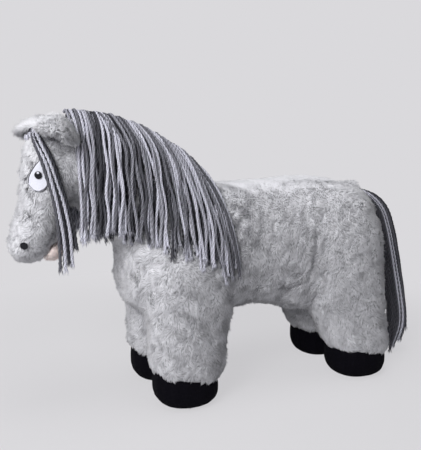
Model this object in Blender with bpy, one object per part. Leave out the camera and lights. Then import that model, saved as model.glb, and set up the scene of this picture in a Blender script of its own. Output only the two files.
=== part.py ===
"""A plush horse that stands on four felt hooves.

It faces -X, its left side faces -Y and +Z is up. The origin is on the floor, under the middle of
the whole horse. Each stuffed form is a sewn cover, open where the next form joins it, round a
filling of its own. The mane, forelock and tail are locks of yarn, each hinged where it is sewn.
"""

import math

import bmesh
import bpy
from mathutils import Matrix, Vector
from mathutils.bvhtree import BVHTree

# Body
BODY_REAR_X = 0.192
BODY_LENGTH = 0.348
BODY_WIDTH = 0.164
BACK_HEIGHT = 0.265
BELLY_HEIGHT = 0.098
BODY_FRONT_X = BODY_REAR_X - BODY_LENGTH

# Neck
WITHERS_SETBACK = 0.120
WITHERS_X = BODY_FRONT_X + WITHERS_SETBACK
NECK_REACH = 0.168
NECK_RISE = 0.079
POLL_X = WITHERS_X - NECK_REACH
POLL_HEIGHT = BACK_HEIGHT + NECK_RISE
CREST_RISE = 0.021
BREAST_SETBACK = 0.002
BREAST_DROP = 0.079
BREAST_X = BODY_FRONT_X + BREAST_SETBACK
BREAST_HEIGHT = BACK_HEIGHT - BREAST_DROP
THROAT_LEAD = 0.004
THROAT_DROP = 0.096
THROAT_X = POLL_X - THROAT_LEAD
THROAT_HEIGHT = POLL_HEIGHT - THROAT_DROP
NECK_BASE_WIDTH = 0.142
NECK_TOP_WIDTH = 0.090

# Head
HEAD_TOP_DROP = 0.005
HEAD_TOP_HEIGHT = POLL_HEIGHT - HEAD_TOP_DROP
HEAD_LENGTH = 0.162
HEAD_DEPTH = 0.070
HEAD_WIDTH = 0.086
FOREHEAD_LEAD = 0.058
FOREHEAD_X = POLL_X - FOREHEAD_LEAD
NOSE_REACH = 0.021

# Legs and hooves
FRONT_LEG_SETBACK = 0.070
FRONT_LEG_X = BODY_FRONT_X + FRONT_LEG_SETBACK
HIND_LEG_LEAD = 0.028
HIND_LEG_X = BODY_REAR_X - HIND_LEG_LEAD
LEG_Y = 0.0465
LEG_DEPTH = 0.090
LEG_WIDTH = 0.083
THIGH_DEPTH = 0.130
HOOF_DEPTH = 0.081
HOOF_WIDTH = 0.078
HOOF_TOE_HEIGHT = 0.044
HOOF_HEEL_HEIGHT = 0.033
HOOF_WALL = 0.003

# Cloth
COVER_WALL = 0.004
GAP = 0.0003
SEAM_GAP = 0.0006
FILLING_GAP = 0.0009
OVERRUN = 0.010

# Ears
EAR_LENGTH = 0.062
EAR_WIDTH = 0.043
EAR_WALL = 0.004
EAR_ARCH = 0.0165
EAR_RISE = 0.006
EAR_DROOP = 0.010
EAR_SETBACK = 0.034
EAR_SHIFT = 0.007
EAR_PLACES = {"left": FOREHEAD_X + EAR_SETBACK, "right": FOREHEAD_X + EAR_SETBACK + EAR_SHIFT}
EAR_ROOT_Y = 0.019
EAR_FORWARD_ANGLES = {"left": 6, "right": 36}
LINING_WALL = 0.0015
EAR_CLEARANCE = 0.004

# Face
EYE_WIDTH = 0.0195
EYE_HEIGHT = 0.0335
EYE_SETBACK = 0.0120
EYE_DROP = 0.0583
EYE_X = FOREHEAD_X + EYE_SETBACK
EYE_Z = HEAD_TOP_HEIGHT - EYE_DROP
FELT_WALL = 0.0014
FELT_LIFT = 0.0004
PUPIL_WIDTH = 0.0074
PUPIL_HEIGHT = 0.0084
PAD_PAUSE = 0.0006
GLINT_SIZE = 0.0024
NOSTRIL_WIDTH = 0.0080
NOSTRIL_HEIGHT = 0.0082
NOSTRIL_LEAD = 0.0060
NOSTRIL_DROP = 0.1348
NOSTRIL_X = FOREHEAD_X - NOSTRIL_LEAD
NOSTRIL_Z = HEAD_TOP_HEIGHT - NOSTRIL_DROP
LIP_DEPTH = 0.026
LIP_WIDTH = 0.046
LIP_HEIGHT = 0.022
LIP_DROP = 0.003

# Mane
MANE_FRONT_X = POLL_X
MANE_REAR_LEAD = 0.002
MANE_REAR_X = WITHERS_X - MANE_REAR_LEAD
LOCK_PAUSE = 0.0030
LOCK_WALL = 0.008
LOCK_CLEARANCE = 0.0012
MANE_DROP = 0.128
MANE_FRONT_FLARE = 0.012
MANE_REAR_FLARE = 0.011
TAPE_WIDTH = 0.012
TAPE_WALL = 0.0012
RIDGE_WIDTH = 0.013
RIDGE_HEIGHT = 0.007

# Forelock
FORELOCK_SETBACK = 0.0084
FORELOCK_X = FOREHEAD_X + FORELOCK_SETBACK
FORELOCK_WIDTH = 0.010
FORELOCK_WALL = 0.006
FORELOCK_CLEARANCE = 0.0039
FORELOCK_DROP = 0.145
FORELOCK_FLARE = 0.0045
FORELOCK_SLANT = 0.0285

# Tail
TAIL_ROOT_DROP = 0.019
TAIL_ROOT_HEIGHT = BACK_HEIGHT - TAIL_ROOT_DROP
TAIL_STUB_LENGTH = 0.016
TAIL_STUB_WIDTH = 0.024
TAIL_WIDTH = 0.032
TAIL_WALL = 0.016
TAIL_REACH = 0.0914
TAIL_FLOOR_GAP = 0.006

# Counts and shapes without a size
LOCKS_A_SIDE = 6
FORM_SIDES = 16
STUB_SIDES = 12
EYE_POINTS = 14
OVAL_POINTS = 10
GLINT_POINTS = 8
LIP_RINGS = 7
EAR_STEPS = 8
CREST_STEPS = 9
DRAPE_STEPS = 5
SHARP_ANGLE = 50
DRAPE_END_ANGLE = 8
RIDGE_ARC_ANGLE = 62
BODY_POWER = 2.5
LIMB_POWER = 2.25
LIP_POWER = 2
EAR_POWER = 0.7
FORELOCK_POWER = 2.3

# Each row is a cross section: where it crosses the back, where it crosses the belly, and its width.
# Places along are shares of the body's length from the rump, heights are shares from belly to back.
BODY_SHARES = (
    (1.000, 0.58, 1.000, 0.36, 0.28),
    (0.975, 0.76, 0.985, 0.15, 0.70),
    (0.885, 0.93, 0.905, 0.02, 0.93),
    (0.720, 0.99, 0.740, 0.01, 0.98),
    (0.510, 1.00, 0.525, 0.05, 0.97),
    (0.310, 1.01, 0.320, 0.00, 0.99),
    (0.150, 0.985, 0.140, -0.03, 1.00),
    (0.055, 0.89, 0.045, 0.04, 0.93),
    (0.012, 0.75, 0.010, 0.20, 0.72),
    (0.000, 0.60, 0.000, 0.38, 0.36),
)
# How far along the neck each cross section is, from inside the body to inside the head.
NECK_SHARES = (-0.22, 0.0, 0.25, 0.5, 0.75, 1.0, 1.12)
# Head rows: heights of brow and jaw as shares of the head's length down from its top, how far the
# brow line reaches to the nose, the depth and the width.
HEAD_SHARES = (
    (0.045, 0.000, -1.05, 0.38, 0.40),
    (0.140, 0.040, -0.12, 0.83, 0.79),
    (0.310, 0.220, 0.15, 1.00, 0.97),
    (0.465, 0.410, 0.22, 0.97, 1.00),
    (0.620, 0.590, 0.40, 0.85, 0.93),
    (0.760, 0.760, 0.78, 0.80, 0.84),
    (0.880, 0.880, 1.02, 0.70, 0.77),
    (0.965, 0.965, 0.66, 0.46, 0.55),
    (1.000, 1.000, 0.30, 0.18, 0.22),
)
# Leg rows, from the hoof up: height as a share from the hoof's rim to the top of the leg, how far
# its front and rear stand from the middle of the hoof as shares of the leg's depth, and its width.
FRONT_LEG_SHARES = (
    (0.00, -0.455, 0.475, 0.95),
    (0.06, -0.495, 0.530, 0.99),
    (0.28, -0.515, 0.585, 1.00),
    (0.50, -0.565, 0.670, 1.01),
    (0.72, -0.565, 0.670, 0.98),
    (0.92, -0.440, 0.560, 0.74),
    (1.00, -0.200, 0.320, 0.34),
)
FRONT_LEG_TOP_SHARE = 0.70
# Hind rows give their front and rear as shares of the thigh's depth.
HIND_LEG_SHARES = (
    (0.00, -0.325, 0.320, 0.95),
    (0.05, -0.375, 0.335, 0.99),
    (0.22, -0.490, 0.305, 1.01),
    (0.38, -0.630, 0.275, 1.05),
    (0.55, -0.750, 0.260, 1.05),
    (0.74, -0.690, 0.235, 0.99),
    (0.92, -0.560, 0.120, 0.74),
    (1.00, -0.400, 0.000, 0.34),
)
HIND_LEG_TOP_SHARE = 0.93
# Hoof rows: height as a share of the rim's height and size as a share of the hoof's.
HOOF_SHARES = ((1.0, 0.97), (0.74, 1.0), (0.46, 0.995), (0.24, 0.93), (0.09, 0.79), (0.0, 0.58))
# Yarn length of each lock from the poll to the withers, as shares of the drop.
LOCK_LENGTH_SHARES = (1.03, 1.00, 0.97, 0.96, 0.92, 0.85)
# How thick a lock is from its root to its tip, and across its width.
LOCK_TAPER_SHARES = (0.85, 1.0, 1.05, 1.1, 1.1, 1.05, 1.0, 0.9, 0.55)
LOCK_BULGE_SHARES = (0.72, 1.0, 0.72)
# The tail's middle line after its root: how far back and down, as shares of its reach and drop.
TAIL_LINE_SHARES = (
    (0.30, 0.035),
    (0.48, 0.12),
    (0.62, 0.27),
    (0.74, 0.45),
    (0.86, 0.65),
    (0.94, 0.84),
    (0.83, 1.00),
)
TAIL_TAPER_SHARES = (0.62, 0.80, 0.95, 1.0, 1.0, 1.0, 0.95, 0.55)
TAIL_LOCK_NAMES = ("left", "centre", "right")

# Small places and forms, each a share of the piece that it belongs to.
EAR_ROOT_SHARE = 0.15
EAR_TIP_SHARE = 0.965
EAR_OVERLAP_SHARE = 0.06
EAR_ARCH_FRONT_SHARE = 0.60
EAR_ARCH_REAR_SHARE = 1.65
NUDGE_SHARE = 0.01
PAD_RING_SHARE = 0.55
EYE_LEAN_SHARE = 0.10
PUPIL_PLACE_SHARES = (-0.05, 0.03)
GLINT_PLACE_SHARES = (-0.05, 0.30)
LIP_END_SHARE = 0.06
NECK_HEART_SHARE = 0.55

FUR = ("fur", (0.52, 0.52, 0.55), 0.95)
FILLING = ("filling", (0.86, 0.86, 0.84), 1.0)
HOOF_FELT = ("hoof_felt", (0.012, 0.012, 0.017), 0.92)
EAR_SATIN = ("ear_lining", (0.36, 0.37, 0.40), 0.6)
WHITE_FELT = ("white_felt", (0.80, 0.80, 0.86), 0.85)
BLACK_THREAD = ("black_thread", (0.015, 0.015, 0.02), 0.6)
LIP_FELT = ("lip_felt", (0.66, 0.44, 0.41), 0.9)
YARN = ("mane_yarn", (0.20, 0.20, 0.22), 0.85)
TAIL_YARN = ("tail_yarn", (0.09, 0.09, 0.10), 0.85)
TAPE = ("mane_tape", (0.30, 0.30, 0.32), 0.9)


def clear_scene():
    for obj in list(bpy.data.objects):
        bpy.data.objects.remove(obj)


def material(look):
    name, colour, roughness = look
    made = bpy.data.materials.get(name)
    if made is None:
        made = bpy.data.materials.new(name)
        made.use_nodes = True
        shader = made.node_tree.nodes["Principled BSDF"]
        shader.inputs["Base Color"].default_value = (*colour, 1.0)
        shader.inputs["Roughness"].default_value = roughness
        shader.inputs["Metallic"].default_value = 0.0
    return made


def mesh_object(name, points, faces, look=None):
    """One object from points and faces. Without a look it is a cutter, which is not part of the horse."""
    mesh = bpy.data.meshes.new(name)
    mesh.from_pydata([tuple(point) for point in points], [], faces)
    shape = bmesh.new()
    shape.from_mesh(mesh)
    bmesh.ops.recalc_face_normals(shape, faces=shape.faces)
    shape.to_mesh(mesh)
    shape.free()
    obj = bpy.data.objects.new(name, mesh)
    bpy.context.scene.collection.objects.link(obj)
    if look is None:
        obj.hide_render = True
        obj.display_type = "WIRE"
    else:
        mesh.materials.append(material(look))
        mesh.shade_smooth()
        mesh.set_sharp_from_angle(angle=math.radians(SHARP_ANGLE))
    return obj


def hinge(obj, one, other):
    """Puts the object's origin on the line that it turns about, and notes the line's direction."""
    middle = (one + other) / 2
    obj.data.transform(Matrix.Translation(-middle))
    obj.location = middle
    obj["hinge_axis"] = (other - one).normalized()


def cut(obj, cutters):
    for cutter in cutters:
        modifier = obj.modifiers.new("cut_" + cutter.name, "BOOLEAN")
        modifier.operation = "DIFFERENCE"
        modifier.object = cutter


def mix(low, high, share):
    return low + (high - low) * share


def rounded(turn, power):
    """A point at this turn on a unit outline between an ellipse and a box."""
    across, up = math.cos(turn), math.sin(turn)
    return (
        math.copysign(abs(across) ** (2 / power), across),
        math.copysign(abs(up) ** (2 / power), up),
    )


def section(one, other, middle_y, half_width, inset, power):
    """A ring of points whose outline crosses the mid plane at one and at other, each (x, z)."""
    one, other = Vector((one[0], middle_y, one[1])), Vector((other[0], middle_y, other[1]))
    middle = (one + other) / 2
    reach = (one - other) / 2
    reach = reach.normalized() * max(reach.length - inset, GAP)
    side = Vector((0, max(half_width - inset, GAP), 0))
    ring = []
    for k in range(FORM_SIDES):
        along, across = rounded(2 * math.pi * (k + 0.5) / FORM_SIDES, power)
        ring.append(middle + reach * along + side * across)
    return ring


def tube_faces(rings, sides):
    """Triangles between rings, all split the same way, so that a form and its room run parallel."""
    faces = []
    for r in range(rings - 1):
        for k in range(sides):
            after = (k + 1) % sides
            here, there = r * sides, (r + 1) * sides
            faces.append((here + k, here + after, there + after))
            faces.append((here + k, there + after, there + k))
    return faces


def middle_of(ring):
    return sum(ring, Vector()) / len(ring)


def drawn_in(rings, first, last):
    """The rings moved along the form, so that its ends come in by these lengths and the rest follows."""
    start, end = middle_of(rings[0]), middle_of(rings[-1])
    along = (end - start).normalized()
    length = (end - start).length
    moved = []
    for ring in rings:
        share = (middle_of(ring) - start).dot(along) / length
        step = along * (first * (1 - share) - last * share)
        moved.append([point + step for point in ring])
    return moved


def run_on(rings, at_first, at_last):
    """The rings with one more past each end that is named, so that a cutter opens the form there."""
    rings = list(rings)
    if at_first:
        step = (middle_of(rings[0]) - middle_of(rings[1])).normalized() * OVERRUN
        rings.insert(0, [point + step for point in rings[0]])
    if at_last:
        step = (middle_of(rings[-1]) - middle_of(rings[-2])).normalized() * OVERRUN
        rings.append([point + step for point in rings[-1]])
    return rings


def form(name, rings, look=None):
    """A closed body through the rings, with a flat face at each end."""
    sides = len(rings[0])
    points = [point for ring in rings for point in ring]
    faces = tube_faces(len(rings), sides)
    faces.append(tuple(range(sides)))
    faces.append(tuple(range(len(points) - sides, len(points))))
    return mesh_object(name, points, faces, look)


def cup(name, outer, inner, look):
    """A body open at the top: both lists of rings run from the rim down."""
    sides = len(outer[0])
    points = [point for ring in outer + inner for point in ring]
    faces = tube_faces(len(outer), sides)
    offset = len(outer) * sides
    faces += [tuple(offset + k for k in face) for face in tube_faces(len(inner), sides)]
    for k in range(sides):
        after = (k + 1) % sides
        faces.append((k, after, offset + after, offset + k))
    faces.append(tuple(range(offset - sides, offset)))
    faces.append(tuple(range(len(points) - sides, len(points))))
    return mesh_object(name, points, faces, look)


def body_rings(inset):
    rings = []
    for along_back, back, along_belly, belly, width in BODY_SHARES:
        rings.append(
            section(
                (BODY_REAR_X - BODY_LENGTH * along_back, mix(BELLY_HEIGHT, BACK_HEIGHT, back)),
                (BODY_REAR_X - BODY_LENGTH * along_belly, mix(BELLY_HEIGHT, BACK_HEIGHT, belly)),
                0,
                BODY_WIDTH / 2 * width,
                inset,
                BODY_POWER,
            )
        )
    return drawn_in(rings, inset, inset)


def crest_point(share):
    """Where the neck's top line is, from the withers at 0 to the poll at 1 and down into the head."""
    x = mix(WITHERS_X, POLL_X, share)
    if share > 1:
        return (x, mix(POLL_HEIGHT, HEAD_TOP_HEIGHT - OVERRUN, (share - 1) / (NECK_SHARES[-1] - 1)))
    rise = CREST_RISE * 4 * share * (1 - share) if share > 0 else 0
    return (x, mix(BACK_HEIGHT, POLL_HEIGHT, share) + rise)


def neck_rings(inset):
    rings = []
    for share in NECK_SHARES:
        throat = (mix(BREAST_X, THROAT_X, share), mix(BREAST_HEIGHT, THROAT_HEIGHT, share))
        crest = crest_point(share)
        half_width = mix(NECK_BASE_WIDTH, NECK_TOP_WIDTH, share) / 2
        rings.append(section(crest, throat, 0, half_width, inset, LIMB_POWER))
    return rings


def head_rings(inset):
    rings = []
    for brow_down, jaw_down, reach, depth, width in HEAD_SHARES:
        brow_x = FOREHEAD_X - NOSE_REACH * reach
        rings.append(
            section(
                (brow_x, HEAD_TOP_HEIGHT - HEAD_LENGTH * brow_down),
                (brow_x + HEAD_DEPTH * depth, HEAD_TOP_HEIGHT - HEAD_LENGTH * jaw_down),
                0,
                HEAD_WIDTH / 2 * width,
                inset,
                LIMB_POWER,
            )
        )
    return drawn_in(rings, inset, inset)


def hoof_rings(hoof_x, side, inset, floor):
    """Rings from the hoof's rim down to its sole, which stands at the height called floor."""
    rings = []
    for height, size in HOOF_SHARES:
        toe = max(HOOF_TOE_HEIGHT * height, floor)
        heel = max(HOOF_HEEL_HEIGHT * height, floor)
        half = HOOF_DEPTH / 2 * size
        rings.append(
            section(
                (hoof_x - half, toe),
                (hoof_x + half, heel),
                side * LEG_Y,
                HOOF_WIDTH / 2 * size,
                inset,
                LIMB_POWER,
            )
        )
    return rings


def rim_height(past_middle):
    """The slanting top of a hoof, this far behind its middle."""
    slope = (HOOF_HEEL_HEIGHT - HOOF_TOE_HEIGHT) / (HOOF_DEPTH * HOOF_SHARES[0][1])
    return (HOOF_TOE_HEIGHT + HOOF_HEEL_HEIGHT) / 2 + slope * past_middle


def leg_rings(hoof_x, side, shares, depth, top_height, inset):
    rings = []
    for height, front, rear, width in shares:
        toe_z = mix(rim_height(depth * front) + GAP, top_height, height)
        heel_z = mix(rim_height(depth * rear) + GAP, top_height, height)
        rings.append(
            section(
                (hoof_x + depth * front, toe_z),
                (hoof_x + depth * rear, heel_z),
                side * LEG_Y,
                LEG_WIDTH / 2 * width,
                inset,
                LIMB_POWER,
            )
        )
    return rings


def stuffed_forms():
    """The covers, their fillings and the hooves. It returns the whole forms, which carry the rest."""
    inside = COVER_WALL
    filled = COVER_WALL + FILLING_GAP
    whole_body = form("whole_body", body_rings(-SEAM_GAP))
    whole_head = form("whole_head", head_rings(-SEAM_GAP))
    whole_neck = form("whole_neck", neck_rings(-SEAM_GAP))
    body_room = form("body_room", body_rings(inside))
    head_room = form("head_room", head_rings(inside))
    neck_room = form("neck_room", neck_rings(inside))
    carriers = [whole_body, whole_head, whole_neck]
    leg_rooms = []
    legs = (
        ("front", FRONT_LEG_X, FRONT_LEG_SHARES, LEG_DEPTH, FRONT_LEG_TOP_SHARE),
        ("hind", HIND_LEG_X, HIND_LEG_SHARES, THIGH_DEPTH, HIND_LEG_TOP_SHARE),
    )
    for end, hoof_x, shares, depth, top_share in legs:
        top_height = mix(BELLY_HEIGHT, BACK_HEIGHT, top_share)
        for hand, side in (("left", -1), ("right", 1)):
            name = end + "_" + hand
            outer = leg_rings(hoof_x, side, shares, depth, top_height, 0)
            inner = leg_rings(hoof_x, side, shares, depth, top_height, inside)
            room = form("leg_room_" + name, run_on(drawn_in(inner, 0, inside), True, False))
            leg = form("leg_cover_" + name, outer, FUR)
            cut(leg, [room, whole_body])
            carriers.append(form("whole_leg_" + name, outer))
            leg_rooms.append(room)
            packed = leg_rings(hoof_x, side, shares, depth, top_height, filled)
            packed = drawn_in(packed, 0, filled)
            in_hoof = hoof_rings(hoof_x, side, HOOF_WALL + GAP, HOOF_WALL + GAP)
            filling = form("leg_filling_" + name, list(reversed(in_hoof)) + packed[1:], FILLING)
            cut(filling, [body_room])
            cup(
                "hoof_" + name,
                hoof_rings(hoof_x, side, 0, 0),
                hoof_rings(hoof_x, side, HOOF_WALL, HOOF_WALL),
                HOOF_FELT,
            )
    torso = form("torso_cover", body_rings(0), FUR)
    cut(torso, [body_room, neck_room] + leg_rooms)
    form("torso_filling", body_rings(filled), FILLING)
    neck = form("neck_cover", neck_rings(0), FUR)
    cut(neck, [form("neck_bore", run_on(neck_rings(inside), True, True)), whole_body, whole_head])
    neck_filling = form("neck_filling", neck_rings(filled), FILLING)
    cut(neck_filling, [body_room, head_room])
    head = form("head_cover", head_rings(0), FUR)
    cut(head, [head_room, neck_room])
    form("head_filling", head_rings(filled), FILLING)
    return carriers


def tree_of(objects):
    points, faces = [], []
    for obj in objects:
        start = len(points)
        points += [vertex.co.copy() for vertex in obj.data.vertices]
        faces += [[start + k for k in polygon.vertices] for polygon in obj.data.polygons]
    return BVHTree.FromPolygons(points, faces)


def far_out():
    """A length well outside the horse, from which the surface is looked for."""
    return BODY_LENGTH + BODY_WIDTH


def slab(name, surface, us, vs, look):
    """A thin closed body over a grid. surface(u, v, outer) gives its outer or inner side."""
    points = [surface(u, v, outer) for outer in (True, False) for u in us for v in vs]
    rows, columns = len(us), len(vs)
    under = rows * columns
    faces = []
    for r in range(rows - 1):
        for c in range(columns - 1):
            a, b = r * columns + c, (r + 1) * columns + c
            faces.append((a, a + 1, b + 1, b))
            faces.append((under + a, under + b, under + b + 1, under + a + 1))
    rim = [(0, c) for c in range(columns)] + [(r, columns - 1) for r in range(1, rows)]
    rim += [(rows - 1, c) for c in range(columns - 2, -1, -1)] + [(r, 0) for r in range(rows - 2, 0, -1)]
    loop = [r * columns + c for r, c in rim]
    for k, here in enumerate(loop):
        there = loop[(k + 1) % len(loop)]
        faces.append((here, under + here, under + there, there))
    return mesh_object(name, points, faces, look)


def steps(low, high, count):
    return [mix(low, high, k / (count - 1)) for k in range(count)]


def ears(whole_head, tree):
    """Two ears that stand out sideways, each a trough open below with a smooth lining under it."""
    root_z = tree.ray_cast(Vector((EAR_PLACES["left"], 0, far_out())), Vector((0, 0, -1)))[0].z + EAR_WALL
    neck_room = form("ear_clearance", neck_rings(-EAR_CLEARANCE))
    for hand, side in (("left", -1), ("right", 1)):
        forward = math.radians(EAR_FORWARD_ANGLES[hand])
        place = EAR_PLACES[hand]

        def middle(u, v, side=side, forward=forward, place=place):
            fullness = math.sin(math.pi * mix(EAR_ROOT_SHARE, EAR_TIP_SHARE, u)) ** EAR_POWER
            width = EAR_WIDTH / 2 * fullness
            arch = EAR_ARCH * fullness * v * v
            arch *= EAR_ARCH_REAR_SHARE if v > 0 else EAR_ARCH_FRONT_SHARE
            lift = EAR_RISE * math.sin(math.pi * u) - EAR_DROOP * u * u
            x = place + width * v * math.cos(forward) - EAR_LENGTH * u * math.sin(forward)
            y = EAR_ROOT_Y + width * v * math.sin(forward) + EAR_LENGTH * u * math.cos(forward)
            return Vector((x, side * y, root_z + lift - arch))

        def shell(depth, thickness):
            def surface(u, v, outer, side=side, middle=middle):
                along = middle(u + NUDGE_SHARE, v) - middle(u - NUDGE_SHARE, v)
                across = middle(u, v + NUDGE_SHARE) - middle(u, v - NUDGE_SHARE)
                up = across.cross(along).normalized() * side
                return middle(u, v) - up * (depth if outer else depth + thickness)

            return surface

        along_shares = steps(-EAR_OVERLAP_SHARE, 1, EAR_STEPS)
        across_shares = steps(-1, 1, EAR_STEPS)
        ear = slab("ear_" + hand, shell(0, EAR_WALL), along_shares, across_shares, FUR)
        under = shell(EAR_WALL + GAP, LINING_WALL)
        lining = slab("ear_lining_" + hand, under, along_shares[1:-1], across_shares[1:-1], EAR_SATIN)
        inmost = min(side * vertex.co.y for vertex in ear.data.vertices)
        root = Vector((place, side * inmost, root_z))
        reach = Vector((side * EAR_WIDTH / 2, 0, 0))
        for piece in (ear, lining):
            hinge(piece, root - reach, root + reach)
            cut(piece, [whole_head, neck_room])
        lining.parent = ear
        lining.location = (0, 0, 0)


def pad(name, outline, tree, side, lift, thickness, look):
    """A felt piece that lies on the side of the head. outline is a list of (x, z) round its middle."""
    middle = (sum(x for x, z in outline) / len(outline), sum(z for x, z in outline) / len(outline))
    flat = [middle]
    for share in (PAD_RING_SHARE, 1.0):
        flat += [(mix(middle[0], x, share), mix(middle[1], z, share)) for x, z in outline]
    points = []
    for out in (lift, lift + thickness):
        for x, z in flat:
            spot, normal = tree.ray_cast(Vector((x, side * far_out(), z)), Vector((0, -side, 0)))[:2]
            points.append(spot + Vector((0, side * out, 0)))
    count = len(outline)
    under = len(flat)
    faces = []
    for k in range(count):
        after = (k + 1) % count
        for base in (0, under):
            faces.append((base, base + 1 + k, base + 1 + after))
            faces.append((base + 1 + k, base + 1 + count + k, base + 1 + count + after, base + 1 + after))
        low, high = 1 + count + k, 1 + count + after
        faces.append((low, high, under + high, under + low))
    return mesh_object(name, points, faces, look)


def teardrop(x, z, width, height, lean, count):
    """An outline with a point at the top, leaning towards the poll."""
    widest = math.sin(2 * math.atan(math.sqrt(2))) * math.sin(math.atan(math.sqrt(2)))
    outline = []
    for k in range(count):
        turn = 2 * math.pi * k / count
        up = height / 2 * math.cos(turn)
        across = width / 2 * math.sin(turn) * abs(math.sin(turn / 2)) / widest
        outline.append((x + across + up * lean, z + up))
    return outline


def oval(x, z, width, height, count):
    turns = [2 * math.pi * k / count for k in range(count)]
    return [(x + width / 2 * math.sin(turn), z + height / 2 * math.cos(turn)) for turn in turns]


def face(whole_head, head_tree):
    pupil_x = EYE_X + EYE_WIDTH * PUPIL_PLACE_SHARES[0]
    pupil_z = EYE_Z + EYE_HEIGHT * PUPIL_PLACE_SHARES[1]
    glint_x = pupil_x + PUPIL_WIDTH * GLINT_PLACE_SHARES[0]
    glint_z = pupil_z + PUPIL_HEIGHT * GLINT_PLACE_SHARES[1]
    pupil_lift = FELT_LIFT + FELT_WALL + PAD_PAUSE
    glint_lift = pupil_lift + FELT_WALL + PAD_PAUSE
    white = teardrop(EYE_X, EYE_Z, EYE_WIDTH, EYE_HEIGHT, EYE_LEAN_SHARE, EYE_POINTS)
    pupil = oval(pupil_x, pupil_z, PUPIL_WIDTH, PUPIL_HEIGHT, OVAL_POINTS)
    glint = oval(glint_x, glint_z, GLINT_SIZE, GLINT_SIZE, GLINT_POINTS)
    nostril = oval(NOSTRIL_X, NOSTRIL_Z, NOSTRIL_WIDTH, NOSTRIL_HEIGHT, OVAL_POINTS)
    for hand, side in (("left", -1), ("right", 1)):
        eye = pad("eye_white_" + hand, white, head_tree, side, FELT_LIFT, FELT_WALL, WHITE_FELT)
        cut(eye, [whole_head])
        pad("pupil_" + hand, pupil, head_tree, side, pupil_lift, FELT_WALL, BLACK_THREAD)
        pad("eye_glint_" + hand, glint, head_tree, side, glint_lift, FELT_WALL / 2, WHITE_FELT)
        nose = pad("nostril_" + hand, nostril, head_tree, side, FELT_LIFT, FELT_WALL, BLACK_THREAD)
        cut(nose, [whole_head])


def lower_lip(whole_head):
    """The small round lip under the muzzle, as wide as its own ball and cut by the head."""
    chin = HEAD_SHARES[6]
    lip_x = FOREHEAD_X - NOSE_REACH * chin[2] + HEAD_DEPTH * chin[3]
    lip_z = HEAD_TOP_HEIGHT - HEAD_LENGTH * chin[0] - LIP_DROP
    rings = []
    for turn in steps(math.pi * LIP_END_SHARE, math.pi * (1 - LIP_END_SHARE), LIP_RINGS):
        z = lip_z - math.cos(turn) * LIP_HEIGHT / 2
        size = math.sin(turn)
        front = (lip_x - LIP_DEPTH / 2 * size, z)
        rear = (lip_x + LIP_DEPTH / 2 * size, z)
        rings.append(section(front, rear, 0, LIP_WIDTH / 2 * size, 0, LIP_POWER))
    lip = form("lower_lip", rings, LIP_FELT)
    cut(lip, [whole_head])


def draped_profile(tree, x_at, root_z, drop, wall, side, root_y, clearance):
    """Inner and outer points of a lock of yarn that lies over the neck and then hangs.

    x_at gives the x of a point from how far it has dropped. The root's middle is at root_y.
    """
    heart_z = root_z - NECK_TOP_WIDTH * NECK_HEART_SHARE
    start = math.acos(root_y / (root_z - heart_z + clearance + wall * LOCK_TAPER_SHARES[0] / 2))
    inner = []
    x = x_at(0)
    for turn in steps(start, math.radians(DRAPE_END_ANGLE), DRAPE_STEPS):
        outward = Vector((0, side * math.cos(turn), math.sin(turn)))
        for _ in range(2):
            heart = Vector((x, 0, heart_z))
            spot = tree.ray_cast(heart + outward * far_out(), -outward)[0]
            x = x_at(max(root_z - spot.z, 0))
        inner.append((spot, outward))
    for z in steps(inner[-1][0].z, root_z - drop, DRAPE_STEPS)[1:]:
        x = x_at(root_z - z)
        spot = tree.ray_cast(Vector((x, side * far_out(), z)), Vector((0, -side, 0)))[0]
        reach = max(abs(spot.y) if spot and spot.y * side > 0 else 0, abs(inner[-1][0].y))
        inner.append((Vector((x, side * reach, z)), Vector((0, side, 0))))
    near, far = [], []
    for (spot, outward), taper in zip(inner, LOCK_TAPER_SHARES):
        place = spot + outward * clearance
        place.x = x_at(max(root_z - spot.z, 0))
        near.append(place)
        far.append(place + outward * wall * taper)
    return near, far


def lock_body(name, profiles, look):
    """A closed body through side profiles, each (near points, far points), rounded at its root."""
    rings = []
    for near, far in profiles:
        root = (near[0] + far[0]) / 2
        back = (near[0] - near[1]).normalized()
        radius = (far[0] - near[0]).length / 2
        out = (far[0] - near[0]).normalized()
        bend = [
            root + (back * math.cos(turn) + out * math.sin(turn)) * radius
            for turn in (-math.pi / 4, 0, math.pi / 4)
        ]
        rings.append(list(reversed(near)) + bend + far)
    sides = len(rings[0])
    count = len(profiles[0][0])
    points = [point for ring in rings for point in ring]
    faces = tube_faces(len(rings), sides)
    for base in (0, (len(rings) - 1) * sides):
        for k in range(count - 1):
            mirror = sides - 1 - k
            faces.append((base + k, base + k + 1, base + mirror - 1, base + mirror))
        faces.append(tuple(base + k for k in range(count - 1, sides - count + 1)))
    return mesh_object(name, points, faces, look)


def hinge_lock(lock, profiles, side):
    """Hinges a lock at the middle of its root, along the crest, so that it lifts outwards."""
    front, middle, rear = [(near[0] + far[0]) / 2 for near, far in profiles]
    reach = (rear - front) / 2 * side
    hinge(lock, middle - reach, middle + reach)


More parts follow.
